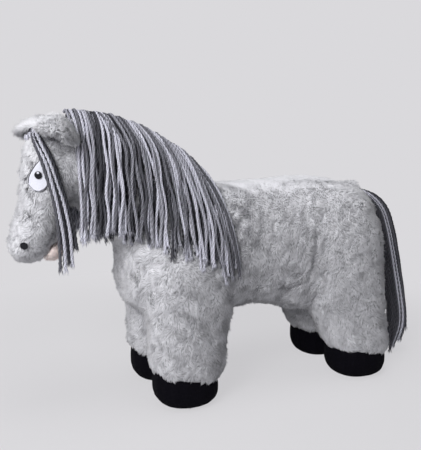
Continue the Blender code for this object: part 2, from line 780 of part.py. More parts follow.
def mane(carriers, tree):
    crest_ray = Vector((0, 0, -1))

    def top(x, y):
        return tree.ray_cast(Vector((x, y, far_out())), crest_ray)[0].z

    def tape_surface(u, v, outer):
        x = mix(MANE_FRONT_X, MANE_REAR_X, u)
        y = TAPE_WIDTH / 2 * v
        return Vector((x, y, top(x, 0) + (GAP + TAPE_WALL if outer else GAP)))

    tape = slab("mane_tape", tape_surface, steps(0, 1, CREST_STEPS), steps(-1, 1, 2), TAPE)
    cut(tape, carriers)

    def ridge_surface(u, v, outer):
        x = mix(MANE_FRONT_X, MANE_REAR_X, u)
        y = RIDGE_WIDTH / 2 * v
        low = top(x, 0) + TAPE_WALL + 2 * GAP
        rise = RIDGE_HEIGHT * math.cos(math.radians(RIDGE_ARC_ANGLE) * v)
        return Vector((x, y, low + (rise if outer else 0)))

    slab("mane_ridge", ridge_surface, steps(0, 1, CREST_STEPS), steps(-1, 1, 5), YARN)

    root_y = RIDGE_WIDTH / 2 + GAP + LOCK_WALL / 2 * LOCK_TAPER_SHARES[0]
    pitch = (MANE_REAR_X - MANE_FRONT_X) / LOCKS_A_SIDE
    for hand, side in (("left", -1), ("right", 1)):
        for number in range(LOCKS_A_SIDE):
            front = MANE_FRONT_X + pitch * number
            edges = (front + LOCK_PAUSE / 2, front + pitch / 2, front + pitch - LOCK_PAUSE / 2)
            profiles = []
            for x, bulge in zip(edges, LOCK_BULGE_SHARES):
                share = (x - MANE_FRONT_X) / (MANE_REAR_X - MANE_FRONT_X)
                flare = mix(-MANE_FRONT_FLARE, MANE_REAR_FLARE, share) / MANE_DROP

                def x_at(down, x=x, flare=flare):
                    return x + flare * down

                drop = MANE_DROP * LOCK_LENGTH_SHARES[number]
                wall = LOCK_WALL * bulge
                profiles.append(
                    draped_profile(tree, x_at, top(x, 0), drop, wall, side, root_y, LOCK_CLEARANCE)
                )
            lock = lock_body("mane_lock_" + hand + "_" + str(number + 1), profiles, YARN)
            hinge_lock(lock, profiles, side)
            cut(lock, carriers)


def forelock(whole_head, tree):
    """Two thin locks from the poll that fall in front of the ears and lie across the cheeks."""
    head_top = tree.ray_cast(Vector((FORELOCK_X, 0, far_out())), Vector((0, 0, -1)))[0].z

    def ridge_surface(u, v, outer):
        x = FORELOCK_X + FORELOCK_WIDTH / 2 * u
        y = RIDGE_WIDTH / 2 * v
        z = tree.ray_cast(Vector((x, y, far_out())), Vector((0, 0, -1)))[0].z
        return Vector((x, y, z + GAP + (FORELOCK_WALL if outer else GAP)))

    ridge = slab("forelock_ridge", ridge_surface, steps(-1, 1, 3), steps(-1, 1, 3), YARN)
    cut(ridge, [whole_head])
    for hand, side in (("left", -1), ("right", 1)):
        profiles = []
        for edge, bulge in zip((-1, 0, 1), LOCK_BULGE_SHARES):

            def x_at(down, edge=edge):
                sweep = 1 - (1 - min(down / FORELOCK_DROP, 1)) ** FORELOCK_POWER
                spread = (FORELOCK_WIDTH / 2 + FORELOCK_FLARE * sweep) * edge
                return FORELOCK_X + spread + FORELOCK_SLANT * sweep

            root_y = RIDGE_WIDTH / 2 + GAP + FORELOCK_WALL / 2 * LOCK_TAPER_SHARES[0]
            wall = FORELOCK_WALL * bulge
            profiles.append(
                draped_profile(
                    tree, x_at, head_top, FORELOCK_DROP, wall, side, root_y, FORELOCK_CLEARANCE
                )
            )
        lock = lock_body("forelock_" + hand, profiles, YARN)
        hinge_lock(lock, profiles, side)


def tail(whole_body):
    back = Vector((-1, 0, 0))
    root_x = tree_of([whole_body]).ray_cast(Vector((far_out(), 0, TAIL_ROOT_HEIGHT)), back)[0].x
    half = TAIL_STUB_WIDTH / 2
    rings = []
    for share in (-1, 1):
        x = root_x + TAIL_STUB_LENGTH * share
        ring = []
        for k in range(STUB_SIDES):
            turn = 2 * math.pi * k / STUB_SIDES
            ring.append(Vector((x, half * math.cos(turn), TAIL_ROOT_HEIGHT + half * math.sin(turn))))
        rings.append(ring)
    stub = form("tail_stub", rings, FUR)
    cut(stub, [whole_body])
    start_x = root_x + TAIL_STUB_LENGTH
    drop = TAIL_ROOT_HEIGHT - TAIL_FLOOR_GAP
    pitch = TAIL_WIDTH / len(TAIL_LOCK_NAMES)
    root = Vector((start_x + TAIL_WALL / 2 * TAIL_TAPER_SHARES[0] + GAP, 0, TAIL_ROOT_HEIGHT))
    line = [root] + [
        Vector((start_x + TAIL_REACH * along, 0, TAIL_ROOT_HEIGHT - drop * down))
        for along, down in TAIL_LINE_SHARES
    ]
    for number, hand in enumerate(TAIL_LOCK_NAMES):
        low_y = -TAIL_WIDTH / 2 + pitch * number + LOCK_PAUSE / 4
        high_y = low_y + pitch - LOCK_PAUSE / 2
        profiles = []
        for y, bulge in zip((low_y, (low_y + high_y) / 2, high_y), LOCK_BULGE_SHARES):
            near, far = [], []
            for k, spot in enumerate(line):
                before, after = line[max(k - 1, 0)], line[min(k + 1, len(line) - 1)]
                run = (after - before).normalized()
                out = Vector((-run.z, 0, run.x))
                reach = out * TAIL_WALL / 2 * TAIL_TAPER_SHARES[k] * bulge
                near.append(spot - reach + Vector((0, y, 0)))
                far.append(spot + reach + Vector((0, y, 0)))
            profiles.append((near, far))
        lock = lock_body("tail_lock_" + hand, profiles, TAIL_YARN)
        middle = root + Vector((0, (low_y + high_y) / 2, 0))
        reach = Vector((0, pitch / 2, 0))
        hinge(lock, middle + reach, middle - reach)


def main():
    clear_scene()
    carriers = stuffed_forms()
    whole_body, whole_head = carriers[:2]
    tree = tree_of(carriers)
    head_tree = tree_of([whole_head])
    ears(whole_head, head_tree)
    face(whole_head, head_tree)
    lower_lip(whole_head)
    mane(carriers[:3], tree)
    forelock(whole_head, head_tree)
    tail(whole_body)


main()
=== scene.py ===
# %% [markdown]
# A plush horse with a yarn mane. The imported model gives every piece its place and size, and this lesson
# dresses it: the stuffed body gets a pile of fur, the hooves become felt cups, and the mane, the forelock
# and the tail become real yarn.
# %% Load the frame
import math

import bpy
import numpy as np
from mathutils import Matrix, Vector
from mathutils.bvhtree import BVHTree


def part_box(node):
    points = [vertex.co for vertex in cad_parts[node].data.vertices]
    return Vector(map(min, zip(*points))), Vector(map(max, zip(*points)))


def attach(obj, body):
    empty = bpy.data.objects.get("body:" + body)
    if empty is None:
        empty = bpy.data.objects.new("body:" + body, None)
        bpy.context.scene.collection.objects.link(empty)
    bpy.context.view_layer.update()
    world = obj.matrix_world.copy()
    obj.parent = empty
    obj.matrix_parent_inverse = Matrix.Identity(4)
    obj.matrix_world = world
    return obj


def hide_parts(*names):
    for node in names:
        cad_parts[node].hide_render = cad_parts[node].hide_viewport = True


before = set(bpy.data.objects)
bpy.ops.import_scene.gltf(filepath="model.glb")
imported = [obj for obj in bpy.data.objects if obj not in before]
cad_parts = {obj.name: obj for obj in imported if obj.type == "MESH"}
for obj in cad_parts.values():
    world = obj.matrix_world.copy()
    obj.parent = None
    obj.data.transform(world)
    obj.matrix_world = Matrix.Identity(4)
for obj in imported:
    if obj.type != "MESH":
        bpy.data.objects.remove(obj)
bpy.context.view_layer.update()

print("full detail")

# %% [markdown]
# The camera looks at the horse's left side from a little in front and a little above, as a photographer
# would who stands less than a metre away. It could be turned by hand until the picture fits. Here it is
# aimed at a point, which keeps it level, so that only its place, that point and the lens have to be found.
# %% Set up the camera
CAMERA_PLACE = Vector((-0.349, -0.736, 0.3277))
CAMERA_AIM = Vector((-0.032, 0.0, 0.2094))
SENSOR_HEIGHT = 36
LENS = 50.4


def aimed(thing, place, aim):
    """Turns a camera or a lamp, which look along their own -Z, towards a point."""
    thing.rotation_euler = (Vector(aim) - Vector(place)).to_track_quat("-Z", "Y").to_euler()


bpy.ops.object.camera_add(location=CAMERA_PLACE)
camera = bpy.context.object
camera.name = "photo_camera"
aimed(camera, CAMERA_PLACE, CAMERA_AIM)
camera.data.sensor_fit = "VERTICAL"
camera.data.sensor_height = SENSOR_HEIGHT
camera.data.lens = LENS
bpy.context.scene.camera = camera
bpy.context.scene.view_settings.view_transform = "Standard"
print("camera", round((CAMERA_AIM - CAMERA_PLACE).length, 3), "m away")

# %% [markdown]
# A material is a net of nodes, and most of it is plain sums. They could be wired one by one, but written as
# Python expressions they stay readable. So one small class wraps a socket: adding or multiplying two of them
# adds the Math node that does it. Any other node comes from the paint box's own method, which sets the
# node's settings first and its inputs after.
# %% A paint box for materials
class Wire:
    """One output of a node, which can be used in sums."""

    def __init__(self, box, socket):
        self.box = box
        self.socket = socket

    def twin(self, output):
        """Another output of the same node."""
        return Wire(self.box, self.socket.node.outputs[output])

    def combined(self, operation, one, other):
        return self.box.node("ShaderNodeMath", {"operation": operation}, {0: one, 1: other})

    def __add__(self, other):
        return self.combined("ADD", self, other)

    def __radd__(self, other):
        return self.combined("ADD", other, self)

    def __mul__(self, other):
        return self.combined("MULTIPLY", self, other)

    def __rmul__(self, other):
        return self.combined("MULTIPLY", other, self)


class PaintBox:
    """The nodes of one material or of the world."""

    def __init__(self, owner):
        owner.use_nodes = True
        self.tree = owner.node_tree
        self.tree.nodes.clear()

    def node(self, kind, settings=None, inputs=None, output=0):
        """Adds a node and returns one of its outputs, if it has any."""
        made = self.tree.nodes.new(kind)
        for name, value in (settings or {}).items():
            if name == "stops":
                self.fill_ramp(made.color_ramp, value)
            else:
                setattr(made, name, value)
        for name, value in (inputs or {}).items():
            if isinstance(value, Wire):
                self.tree.links.new(value.socket, made.inputs[name])
            else:
                made.inputs[name].default_value = value
        return Wire(self, made.outputs[output]) if len(made.outputs) else None

    def fill_ramp(self, ramp, stops):
        while len(ramp.elements) < len(stops):
            ramp.elements.new(1.0)
        for stop, (place, colour) in zip(ramp.elements, stops):
            stop.position = place
            stop.color = (*colour, 1.0)

    def place(self):
        return self.node("ShaderNodeTexCoord", output="Object")

    def noise(self, scale, detail):
        return self.node("ShaderNodeTexNoise", None,
                         {"Vector": self.place(), "Scale": scale, "Detail": detail})

    def bands(self, direction, scale, distortion):
        return self.node("ShaderNodeTexWave", {"wave_type": "BANDS", "bands_direction": direction},
                         {"Vector": self.place(), "Scale": scale, "Distortion": distortion})

    def bump(self, height, strength, distance):
        return self.node("ShaderNodeBump", None,
                         {"Height": height, "Strength": strength, "Distance": distance})

    def ramp(self, amount, stops):
        return self.node("ShaderNodeValToRGB", {"stops": stops}, {"Fac": amount})

    def larger(self, one, other):
        return self.node("ShaderNodeMath", {"operation": "MAXIMUM"}, {0: one, 1: other})

    def finish(self, shader, kind="ShaderNodeOutputMaterial"):
        self.node(kind, None, {"Surface": shader})


def material(title, paint, **constants):
    """A material whose shader takes its colour, roughness and normal from paint(box)."""
    made = bpy.data.materials.new(title)
    box = PaintBox(made)
    inputs = paint(box)
    inputs.update(constants)
    box.finish(box.node("ShaderNodeBsdfPrincipled", None, inputs))
    return made


print("paint box ready")

# %% [markdown]
# The studio is a pale backdrop with soft light. A white room round the horse would light it from everywhere
# and flatten its fur. So the camera sees the backdrop's own colour, while the horse is lit by a weak grey
# surround and four round lamps, of which the one at the front left does most of the work.
# %% Light the studio
BACKDROP = (0.701, 0.694, 0.716, 1.0)
SURROUND = (0.93, 0.95, 1.0, 1.0)
SURROUND_STRENGTH = 0.10

world = bpy.data.worlds.new("studio")
bpy.context.scene.world = world
box = PaintBox(world)
camera_ray = box.node("ShaderNodeLightPath", output="Is Camera Ray")
seen = box.larger(box.larger(camera_ray, camera_ray.twin("Is Glossy Ray")),
                  camera_ray.twin("Is Transmission Ray"))
weak = box.node("ShaderNodeBackground", None, {"Color": SURROUND, "Strength": SURROUND_STRENGTH})
pale = box.node("ShaderNodeBackground", None, {"Color": BACKDROP, "Strength": 1.0})
box.finish(box.node("ShaderNodeMixShader", None, {0: seen, 1: weak, 2: pale}), "ShaderNodeOutputWorld")

# Each lamp's name, place, the point it shines at, its size in metres and its power in watts.
LAMPS = (
    ("lamp_above", (-0.1, -0.2, 1.6), (0.0, 0.0, 0.2), 0.9, 10.0),
    ("lamp_left", (-1.5, -0.5, 0.6), (-0.05, 0.0, 0.2), 0.8, 5.0),
    ("lamp_key", (-1.2, -1.2, 1.1), (-0.05, 0.0, 0.2), 0.8, 28.0),
    ("lamp_behind", (0.5, 1.2, 1.1), (0.0, 0.0, 0.2), 0.9, 1.5))

for title, place, aim, size, power in LAMPS:
    bpy.ops.object.light_add(type="AREA", location=place)
    lamp = bpy.context.object
    lamp.name = title
    aimed(lamp, place, aim)
    lamp.data.shape = "DISK"
    lamp.data.size = size
    lamp.data.energy = power
print("studio with", len(LAMPS), "lamps")

# %% [markdown]
# The floor is a wide disc. A plain one would meet the backdrop in a hard line and show a strong shadow. This
# one glows with the backdrop's colour where the camera sees it, apart from a faint share of real, shaded
# floor round the horse's feet, which keeps its shadow and fades out with the distance.
# %% Lay the floor
FLOOR_RADIUS = 3.0
FLOOR_COLOUR = (0.68, 0.675, 0.69, 1.0)
SHADED_FLOOR_SHARE = 0.20
FADE_FROM, FADE_TO = 0.30, 0.70

bpy.ops.mesh.primitive_circle_add(vertices=96, radius=FLOOR_RADIUS, fill_type="NGON", location=(0, 0, 0))
floor = bpy.context.object
floor.name = "floor"
floor_paint = bpy.data.materials.new("pale_floor")
floor.data.materials.append(floor_paint)

box = PaintBox(floor_paint)
away = box.node("ShaderNodeVectorMath", {"operation": "LENGTH"}, {0: box.place()}, output="Value")
share = box.node("ShaderNodeMapRange", {"interpolation_type": "SMOOTHSTEP"},
                 {"Value": away, "From Min": FADE_FROM, "From Max": FADE_TO,
                  "To Min": SHADED_FLOOR_SHARE, "To Max": 0.0})
lit = box.node("ShaderNodeBsdfDiffuse", None, {"Color": FLOOR_COLOUR})
glow = box.node("ShaderNodeEmission", None, {"Color": BACKDROP, "Strength": 1.0})
shown = box.node("ShaderNodeMixShader", None, {0: share, 1: glow, 2: lit})
camera_ray = box.node("ShaderNodeLightPath", output="Is Camera Ray")
box.finish(box.node("ShaderNodeMixShader", None, {0: camera_ray, 1: lit, 2: shown}))
print("floor of", 2 * FLOOR_RADIUS, "m")

# %% [markdown]
# A few tools of the workbench. Operators act on all that is selected, so a piece is always picked alone. A
# copy of a solid is loose triangles, so its points are merged before anything else is done to it.
# %% Tools for picking, copying and finishing
MERGE_DISTANCE = 0.000005


def pick(*chosen):
    bpy.ops.object.select_all(action="DESELECT")
    for piece in chosen:
        piece.select_set(True)
    bpy.context.view_layer.objects.active = chosen[0]


def copied(names, title):
    """A new piece from merged copies of the frame's solids."""
    copies = []
    for name in names:
        one = bpy.data.objects.new(title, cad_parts[name].data.copy())
        bpy.context.scene.collection.objects.link(one)
        copies.append(one)
    pick(*copies)
    if len(copies) > 1:
        bpy.ops.object.join()
    piece = bpy.context.view_layer.objects.active
    piece.name = title
    piece.data.materials.clear()
    bpy.ops.object.mode_set(mode="EDIT")
    bpy.ops.mesh.select_all(action="SELECT")
    bpy.ops.mesh.remove_doubles(threshold=MERGE_DISTANCE)
    bpy.ops.mesh.normals_make_consistent(inside=False)
    bpy.ops.object.mode_set(mode="OBJECT")
    return piece


def shaped(piece, kind, **settings):
    """Adds one modifier to the piece and applies it."""
    pick(piece)
    modifier = piece.modifiers.new(kind.title(), kind)
    for name, value in settings.items():
        setattr(modifier, name, value)
    bpy.ops.object.modifier_apply(modifier=modifier.name)


def smooth_shaded(piece):
    pick(piece)
    bpy.ops.object.shade_smooth()


def softened(piece, voxel, rounds):
    """Makes the piece one even skin of small squares and rounds its facets."""
    shaped(piece, "REMESH", mode="VOXEL", voxel_size=voxel, adaptivity=0)
    shaped(piece, "SMOOTH", factor=0.5, iterations=rounds)
    smooth_shaded(piece)
    return piece


def settle(piece, slot, *nodes, body="horse", fill=None):
    """Hands the finished piece over to the body that it rides on."""
    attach(piece, body)
    if nodes:
        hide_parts(*nodes)


print("workbench ready")

# %% [markdown]
# Fur and yarn are far too many small shapes to place by hand. Their points are worked out as arrays of
# numbers and made into a mesh at once. These tools read a piece as arrays, find the nearest spot of a solid,
# and turn arrays back into a piece.
# %% Tools for points and surfaces
WAVE_COUNT = 7
WAVE_SUM = 2.6


def arrays_of(piece):
    """The piece's points, triangles and point normals as arrays."""
    mesh = piece.data
    mesh.calc_loop_triangles()
    points = np.zeros(len(mesh.vertices) * 3)
    mesh.vertices.foreach_get("co", points)
    normals = np.zeros(len(mesh.vertices) * 3)
    mesh.vertices.foreach_get("normal", normals)
    triangles = np.zeros(len(mesh.loop_triangles) * 3, np.int32)
    mesh.loop_triangles.foreach_get("vertices", triangles)
    return points.reshape(-1, 3), triangles.reshape(-1, 3), normals.reshape(-1, 3)


def tree_of(names):
    """A search tree over some of the frame's solids."""
    points, triangles, start = [], [], 0
    for name in names:
        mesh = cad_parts[name].data
        mesh.calc_loop_triangles()
        points += [v.co[:] for v in mesh.vertices]
        triangles += [[start + v for v in t.vertices] for t in mesh.loop_triangles]
        start += len(mesh.vertices)
    return BVHTree.FromPolygons(points, triangles)


def unit(vectors):
    return vectors / np.maximum(np.linalg.norm(vectors, axis=1, keepdims=True), 1e-9)


def outward_of(side):
    """The direction along Y that points away from the horse's middle on that side."""
    return -1.0 if side == "left" else 1.0


def hump(values, centre, width):
    """1 at the centre, and falling smoothly to almost 0 two widths away from it."""
    return np.exp(-((values - centre) / width) ** 2)


def rising(values, start, length):
    """0 up to the start, then rising evenly to 1 over that length."""
    return np.clip((values - start) / length, 0, 1)


def falling(values, start, length):
    """1 where the values are more than that length under the start, and 0 above the start."""
    return np.clip((start - values) / length, 0, 1)


def waves(points, size, seed):
    """A smooth uneven pattern in space, mostly between -1 and 1, with patches about size across."""
    chance = np.random.default_rng(seed)
    total = np.zeros(len(points))
    for _ in range(WAVE_COUNT):
        direction = unit(chance.normal(size=(1, 3)))[0] * chance.uniform(0.6, 1.5) * math.pi / size
        total += np.sin(points @ direction + chance.uniform(0, 2 * math.pi))
    return total / WAVE_SUM


def piece_from(title, blocks, paint):
    """One piece from blocks of points, triangles, pattern places (one a point) and, if given, normals."""
    points = np.concatenate([b[0] for b in blocks])
    starts = np.cumsum([0] + [len(b[0]) for b in blocks[:-1]])
    triangles = np.concatenate([b[1] + s for b, s in zip(blocks, starts)]).astype(np.int32)
    places = np.concatenate([b[2] for b in blocks])
    mesh = bpy.data.meshes.new(title)
    mesh.vertices.add(len(points))
    mesh.vertices.foreach_set("co", points.ravel())
    mesh.loops.add(len(triangles) * 3)
    mesh.loops.foreach_set("vertex_index", triangles.ravel())
    mesh.polygons.add(len(triangles))
    mesh.polygons.foreach_set("loop_start", np.arange(0, len(triangles) * 3, 3, dtype=np.int32))
    mesh.update(calc_edges=True)
    mesh.polygons.foreach_set("use_smooth", np.ones(len(triangles), bool))
    pattern = mesh.uv_layers.new(name="OFBake")
    pattern.data.foreach_set("uv", places[triangles.ravel()].astype(np.float32).ravel())
    if len(blocks[0]) > 3:
        mesh.normals_split_custom_set_from_vertices(np.concatenate([b[3] for b in blocks]).tolist())
    mesh.materials.append(paint)
    piece = bpy.data.objects.new(title, mesh)
    bpy.context.scene.collection.objects.link(piece)
    return piece


print("point tools ready")

# %% [markdown]
# From near, plush is thousands of small locks that lie over each other, light where they catch the light and
# grey in between, and yarn is light on its plies and dark in the valleys. A pattern in space couldn't follow
# the locks. So each piece of fur or yarn carries a pattern map, which holds a shade for each lock across and
# the way from its root to its tip upwards, and the colour is worked out from those two alone. The grey
# towards the roots and in the valleys is painted shade.
# %% Paint the fur and the yarn
TIP_GREY = 0.90
TIP_FROM = 0.45


def fur_paint(dark, middle, light, root):
    """Fur or yarn in three shades, with painted shade towards its roots, down to the share that root gives.
    """
    def paint(box):
        place = box.node("ShaderNodeUVMap", {"uv_map": "OFBake"})
        shade = box.node("ShaderNodeSeparateXYZ", None, {0: place})
        colour = box.ramp(shade, [(0.0, dark), (0.5, middle), (1.0, light)])
        # The second ramp is painted shade: it darkens the colour towards the roots and into the yarn's
        # valleys.
        depth = box.ramp(shade.twin("Y"), [(0.0, (root, root, root * 1.01)), (TIP_FROM, (TIP_GREY,) * 3),
                                           (1.0, (1.0, 1.0, 1.0))])
        mixed = box.node("ShaderNodeMix", {"data_type": "RGBA", "blend_type": "MULTIPLY"},
                         {0: 1.0, 6: colour, 7: depth}, output=2)
        return {"Base Color": mixed}
    return paint


SOFT = {"Roughness": 0.9, "Specular IOR Level": 0.25, "Sheen Weight": 0.15, "Sheen Roughness": 0.5}
DRY = {"Roughness": 0.95, "Specular IOR Level": 0.15}
FUR = material("grey_fur",
               fur_paint((0.36, 0.36, 0.385), (0.70, 0.70, 0.735), (0.88, 0.88, 0.92), root=0.54), **SOFT)
LIP_FUR = material("pink_fur",
                   fur_paint((0.95, 0.72, 0.68), (1.0, 0.86, 0.82), (1.0, 0.95, 0.92), root=0.95), **SOFT)
YARN = material("mane_yarn",
                fur_paint((0.007, 0.007, 0.010), (0.13, 0.13, 0.15), (0.70, 0.70, 0.80), root=0.20), **DRY)
print(len(bpy.data.materials), "materials")

# %% [markdown]
# Felt is matted fibre, so its finish is a fine mottle that shades it and roughens it. Satin is smooth with a
# very fine weave, so its gloss varies more than its height. Stitching is rows of thread laid side by side,
# and bands across the piece stand for the rows. All three read the place on the piece, because nothing in
# them has to follow a seam.
# %% Paint the felt, satin and thread
def felt_paint(colour, lighter, grain):
    def paint(box):
        mottle = box.noise(grain, 6.0)
        return {"Base Color": box.ramp(mottle, [(0.3, colour), (0.7, lighter)]),
                "Normal": box.bump(mottle, 0.5, 0.0006)}
    return paint


def satin_paint(box):
    weave = box.bands("X", 900.0, 1.5)
    mottle = box.noise(160.0, 3.0)
    return {"Base Color": box.ramp(mottle, [(0.3, (0.27, 0.28, 0.31)), (0.7, (0.40, 0.41, 0.45))]),
            "Roughness": 0.34 + 0.16 * mottle,
            "Normal": box.bump(weave, 0.3, 0.0003)}


def thread_paint(colour, lighter):
    def paint(box):
        rows = box.bands("Z", 420.0, 2.0)
        return {"Base Color": box.ramp(rows, [(0.0, colour), (1.0, lighter)]),
                "Roughness": 0.4 + 0.25 * rows,
                "Normal": box.bump(rows, 0.7, 0.0005)}
    return paint


BLACK_FELT = material("black_felt", felt_paint((0.0016, 0.0014, 0.0026), (0.004, 0.0036, 0.006), 900.0),
                      **{"Roughness": 1.0, "Specular IOR Level": 0.06})
WHITE_FELT = material("white_felt", felt_paint((0.57, 0.575, 0.64), (0.66, 0.665, 0.74), 700.0),
                      Roughness=0.95)
SATIN = material("grey_satin", satin_paint)
BLACK_THREAD = material("black_thread", thread_paint((0.003, 0.003, 0.005), (0.010, 0.010, 0.014)),
                        **{"Specular IOR Level": 0.2})
FIBRE = material("white_fibre", felt_paint((0.70, 0.70, 0.68), (0.86, 0.86, 0.84), 260.0), Roughness=1.0)
TAPE = material("grey_tape", thread_paint((0.12, 0.12, 0.13), (0.26, 0.26, 0.28)))
print(len(bpy.data.materials), "materials")

# %% [markdown]
# The real body is sewn from panels and stuffed hard, so all its corners are round and its panels run into
# each other. The solids are plain lofts that meet at sharp lines. Each panel could be rounded by itself, but
# then they would part at the seams. A remesh of all of them together gives one even skin, and smoothing that
# skin rounds the facets and fills the joints between the panels as stuffing does.
# %% Make one soft skin over the stuffed body
LEGS = ["front_left", "front_right", "hind_left", "hind_right"]
PANELS = ["torso", "neck", "head"] + ["leg_" + leg for leg in LEGS]
COVER = {p: p + "_cover" if not p.startswith("leg") else "leg_cover" + p[3:] for p in PANELS}
FILLING = {p: p + "_filling" if not p.startswith("leg") else "leg_filling" + p[3:] for p in PANELS}
SKIN_VOXEL = 0.0032
SKIN_ROUNDS = 30

skin = softened(copied(list(COVER.values()) + list(FILLING.values()), "skin"), SKIN_VOXEL, SKIN_ROUNDS)
pick(skin)
bpy.ops.object.mode_set(mode="EDIT")
bpy.ops.mesh.select_all(action="SELECT")
bpy.ops.mesh.separate(type="LOOSE")
bpy.ops.object.mode_set(mode="OBJECT")
loose = sorted([o for o in bpy.context.selected_objects if o.type == "MESH"],
               key=lambda o: len(o.data.vertices))
skin = loose[-1]
for scrap in loose[:-1]:
    bpy.data.objects.remove(scrap)
print("skin of", len(skin.data.polygons), "faces,", len(loose) - 1, "scraps removed")

# %% [markdown]
# The solids' surface is where the pile ends, so the backing that it grows on lies a little deeper. The
# stuffing isn't even either: the croup and the hocks are fuller, the chest and the chin a little slacker. A
# line of stitches pulls the skin in where the hind leg's panel meets the body. This could be sculpted by
# hand. Here every point moves along its normal by an amount that its place gives, so the horse's two sides
# stay alike and any part of it can be changed alone.
# %% Fill out the skin and pull in the thigh seams
THIGH_SEAM = np.array([(0.078, 0.206), (0.077, 0.180), (0.075, 0.157),
                       (0.068, 0.141), (0.057, 0.136), (0.046, 0.134)])
SEAM_DEPTH = 0.0019
SEAM_SPREAD = 0.0032
SEAM_OUTSIDE = 0.05
PILE_ROOM = 0.0026


def seam_nearness(points):
    """1 on the thigh seam and 0 away from it."""
    flat = points[:, [0, 2]]
    nearest = np.full(len(points), 9.0)
    for one, other in zip(THIGH_SEAM[:-1], THIGH_SEAM[1:]):
        line = other - one
        share = np.clip(((flat - one) @ line) / (line @ line), 0, 1)
        nearest = np.minimum(nearest, np.linalg.norm(flat - one - share[:, None] * line, axis=1))
    return np.exp(-(nearest / SEAM_SPREAD) ** 2) * (np.abs(points[:, 1]) > SEAM_OUTSIDE)


def fluffed(points):
    """How much further the stuffing pushes the skin out, in metres."""
    x, z = points[:, 0], points[:, 2]
    calm = 1 - 0.8 * rising(z, 0.225, 0.02) * (x > -0.06)
    bumps = calm * (0.0006 * waves(points, 0.019, 5) + 0.0002 * waves(points, 0.010, 6))
    croup = 0.0045 * hump(x, 0.115, 0.045) * rising(z, 0.235, 0.02)
    hock = 0.0085 * hump(z, 0.085, 0.040) * hump(x, 0.082, 0.030)
    cuff = 0.0022 * falling(z, 0.070, 0.025)
    chest = -0.0040 * hump(x, -0.152, 0.02) * hump(z, 0.165, 0.035)
    chin = -0.0028 * hump(x, -0.262, 0.02) * falling(z, 0.195, 0.012)
    return bumps + croup + hock + cuff + chest + chin


points, triangles, normals = arrays_of(skin)
points = points + normals * (fluffed(points) - PILE_ROOM - SEAM_DEPTH * seam_nearness(points))[:, None]
skin.data.vertices.foreach_set("co", points.ravel())
skin.data.update()
print("seam points moved", int((seam_nearness(points) > 0.3).sum()))

# %% [markdown]
# The skin is cut back into its panels, because each panel is a piece of its own. Every face goes to the
# panel whose solid lies nearest to it. Faces inside a hoof's felt cup carry no fur, and a ray from the face
# outwards tells whether there is felt in front of it.
# %% Sort the skin's faces by panel
HOOF_TOP = 0.052
SOLE_TOP = 0.03
LEVEL_FACE = 0.3
FELT_REACH = 0.03

cover_trees = {panel: tree_of([COVER[panel]]) for panel in PANELS}
hoof_trees = {leg: tree_of(["hoof_" + leg]) for leg in LEGS}


def nearest_panel(place):
    return min(PANELS, key=lambda panel: cover_trees[panel].find_nearest(place)[3])


def in_a_hoof(place, normal, lower):
    """True where the skin would lie inside a felt cup if it were that much lower."""
    place = place - Vector((0, 0, lower))
    if place.z > HOOF_TOP:
        return False
    outward = Vector((normal.x, normal.y, 0.0))
    if outward.length < LEVEL_FACE:
        return place.z < SOLE_TOP
    return any(tree.ray_cast(place, outward.normalized(), FELT_REACH)[0] is not None
               for tree in hoof_trees.values())


panel_of_face = np.array([PANELS.index(nearest_panel(f.center)) for f in skin.data.polygons])
print({panel: int((panel_of_face == i).sum()) for i, panel in enumerate(PANELS)})

# %% [markdown]
# Fur lies in one direction, down and a little forward on the flanks, and it turns in small swirls where it
# has been stroked. It lies flatter where the skin faces up, because that is where a hand strokes it. Here
# the direction comes from one falling vector, laid along the skin and turned by an uneven pattern.
# %% Lay the fur
SMALL_SWIRL, SMALL_TURN = 0.012, 0.80
LARGE_SWIRL, LARGE_TURN = 0.050, 0.35


def calm_on_top(ups):
    """1 on the sides and less where the skin faces up, because the pile lies smoother there; the fur's
    painted top shade follows it too.
    """
    return 1 - 0.75 * rising(ups[:, 2], 0.45, 0.35)


def lie_of_fur(points, ups, fall, swirl, seed):
    """The direction in which the fur lies, along the skin."""
    along = np.tile(np.array(fall, float), (len(points), 1))
    along = along - (along * ups).sum(1, keepdims=True) * ups
    along = unit(along + 1e-4)
    uneven = (SMALL_TURN * waves(points, SMALL_SWIRL, seed)
              + LARGE_TURN * waves(points, LARGE_SWIRL, seed + 1))
    turn = swirl * calm_on_top(ups) * uneven
    across = np.cross(ups, along)
    return along * np.cos(turn)[:, None] + across * np.sin(turn)[:, None]


print("fur lies in swirls of", SMALL_SWIRL * 1000, "and", LARGE_SWIRL * 1000, "mm")

# %% [markdown]
# The pile is as dense as a lawn. Hair particles could grow it, but they are no part of the mesh, and a bump
# would leave the outline bare. Here each small lock is a sliver of four triangles: two corners at its root,
# a ridge where it bends and a tip. Its normals lean towards the skin's own, so the light falls softly over
# the whole and only picks out the strokes. Neighbours share a clump, in which they lean and fade together.
# %% Make a pile of small locks
PILE_LENGTH = 0.0054
PILE_WIDTH = 0.0012
LOCKS_PER_AREA = 720000
CLUMP_SIZE = 0.0065
HANGING_LEAN = 72
ROOT_DEPTH = 0.0005
SLIVER = np.array([(0, 2, 3), (2, 1, 3), (1, 0, 3), (0, 1, 2)])


def scattered(points, triangles, normals, per_area, chance, keep=None):
    """Roots spread evenly over a surface, and the skin's normals there."""
    corners = points[triangles]
    sides = np.cross(corners[:, 1] - corners[:, 0], corners[:, 2] - corners[:, 0])
    areas = np.linalg.norm(sides, axis=1) / 2
    count = int(areas.sum() * per_area * (1.0))
    chosen = chance.choice(len(triangles), count, p=areas / areas.sum())
    one, two = chance.random(count), chance.random(count)
    over = one + two > 1
    one[over], two[over] = 1 - one[over], 1 - two[over]
    weights = np.stack([1 - one - two, one, two], axis=1)[:, :, None]
    roots = (corners[chosen] * weights).sum(1)
    ups = unit((normals[triangles[chosen]] * weights).sum(1))
    if keep is not None:
        kept = keep(roots)
        roots, ups = roots[kept], ups[kept]
    return roots, ups


